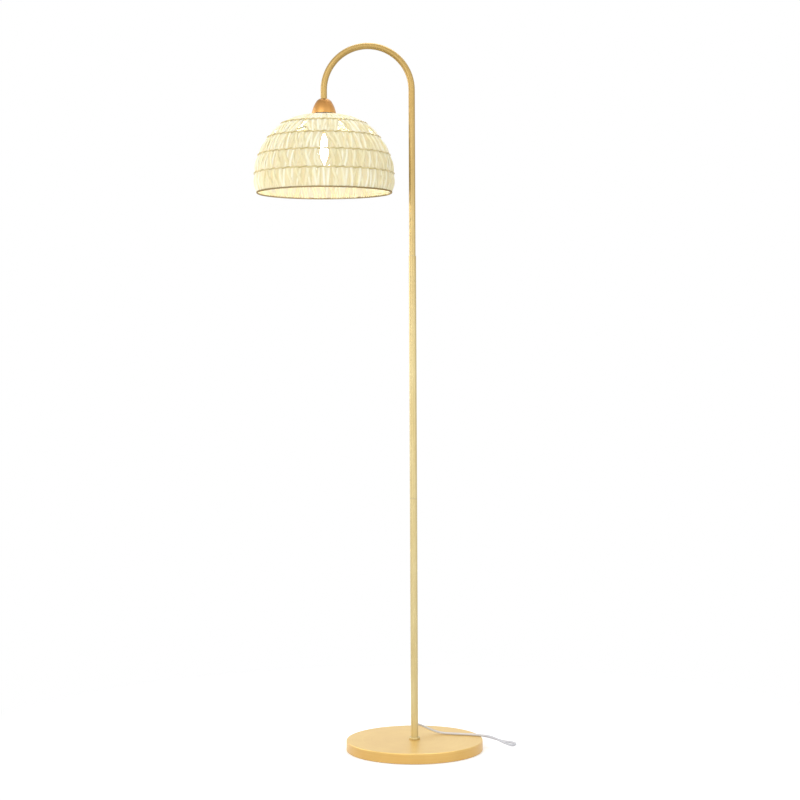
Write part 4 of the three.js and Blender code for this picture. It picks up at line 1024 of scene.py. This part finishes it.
def span(top, bottom):
    """The sizes that strands take from the lines they start and end on, each a radius and a height."""
    return {"Top Radius": top[0] * MM, "Top Height": top[1] * MM,
            "Bottom Radius": bottom[0] * MM, "Bottom Height": bottom[1] * MM}


def shade():
    """The woven dome: crown, four tiers, and the five hoops that twine them together. A tier's lining
    overhangs the gap in front of the bulb."""
    plain = {
        "Columns": 48, "Strands": 8, "Strand Radius": 1.2 * MM, "Lay": 2.1 * MM, "Lift": 0.9 * MM,
        "Fullness": 12.0 * MM, "Lean": 1.4, "Uneven": 1.3, "Steps": 11,
    }
    lining = {
        "Columns": 96, "Strands": 4, "Strand Radius": 1.25 * MM, "Lay": 2.4 * MM, "Lean": 0.12,
        "Uneven": 0.12, "Steps": 9,
    }
    grown("crown_strands", WOVEN, "cane", {
        **plain, **span(CROWN_MOUTH, HOOPS[0]), "Lay": 1.55 * MM, "Fullness": 3 * MM, "Lean": 0.45,
        "Uneven": 0.4, "Bulge Out": 3 * MM, "Bulge Up": 3.4 * MM, "Seed": 3,
    }, "weave_crown")
    for i, (bulge, count, turn, above, waist, below) in enumerate(TIERS):
        place = {
            **span(HOOPS[i], HOOPS[i + 1]), "Openings": count, "Crowding": 8 / count, "Turn": radians(turn),
            "Opening Top": above * MM, "Opening Waist": waist * MM, "Opening Bottom": below * MM,
            "Seed": 11 + i,
        }
        grown(f"tier_{i + 1}_strands", WOVEN, "cane", {
            **plain, **place, "Bulge Out": (bulge - 0.6) * MM, "Bulge Up": (3 - i) * 0.4 * MM,
        }, f"weave_tier_{i + 1}")
        grown(f"tier_{i + 1}_lining", WOVEN, "cane", {
            **place, **lining, "Bulge Out": (bulge - 2.4) * MM, "Overhang": 5 * MM if count == 1 else 0.0,
        }, material=LINING_CANE)
    for name, (radius, height) in zip(["crown_hoop", "hoop_1", "hoop_2", "hoop_3"], HOOPS):
        grown(name + "_twined", TWINED, "cane_hoop", {
            "Hoop Radius": radius * MM, "Height": height * MM, "Core Radius": 1.6 * MM,
            "Weaver Radius": 1.2 * MM, "Swing Out": 2.3 * MM, "Swing Up": 1.5 * MM, "Turns": 24, "Weavers": 2,
            "Steps": 16,
        }, name)
    radius, height = HOOPS[-1]
    grown("rim_whipped", TWINED, "cane_hoop", {
        "Hoop Radius": radius * MM, "Height": height * MM, "Core Radius": 1.4 * MM,
        "Weaver Radius": 0.65 * MM, "Swing Out": 1.6 * MM, "Swing Up": 1.6 * MM, "Turns": 420, "Weavers": 1,
        "Steps": 8,
    }, "rim_hoop", material=RIM_CANE)


def relief():
    """The strain relief: a flange on the tube and a ribbed taper that bends with the cord."""
    profile = [(7.1, 3.5), (8.3, 3.5), (8.3, 5), (8.6, 5.4), (9.5, 5.4), (9.9, 5), (9.9, 4.3)]
    start, end = 11, 29.0
    ribs = 8
    pitch = (end - start) / ribs
    for i in range(ribs):
        reach = start + pitch * i
        full = 4.2 - 1.1 * (reach - start) / (end - start)
        for share, less in ((0, 0), (0.62, 0.06), (0.68, 0.6), (0.96, 0.66)):
            profile.append((reach + share * pitch, full - less))
    profile += [(end, 3.1), (30, 3.05), (30.3, 2.8)]
    line = [CORD_EXIT * reach + CORD_ORIGIN for reach, radius in profile]
    made = tube(line, [radius for reach, radius in profile], 32)
    piece("ribbed_relief", made, "cord_plastic", "strain_relief")


WOVEN = woven_tree()
TWINED = twined_tree()
RIBS = ribs_tree()
THREAD = thread_tree()

studio()
floor()
cord()
base_and_pole()
bell_and_holder()
spider()
bulb()
shade()
relief()

# The fixed frame's own solids that stay on show, with their finishes
for part in frame["record"]["subparts"]:
    for holder in nodes[part["node"]].material_slots:
        holder.material = FINISHES[part["material_slot"]]
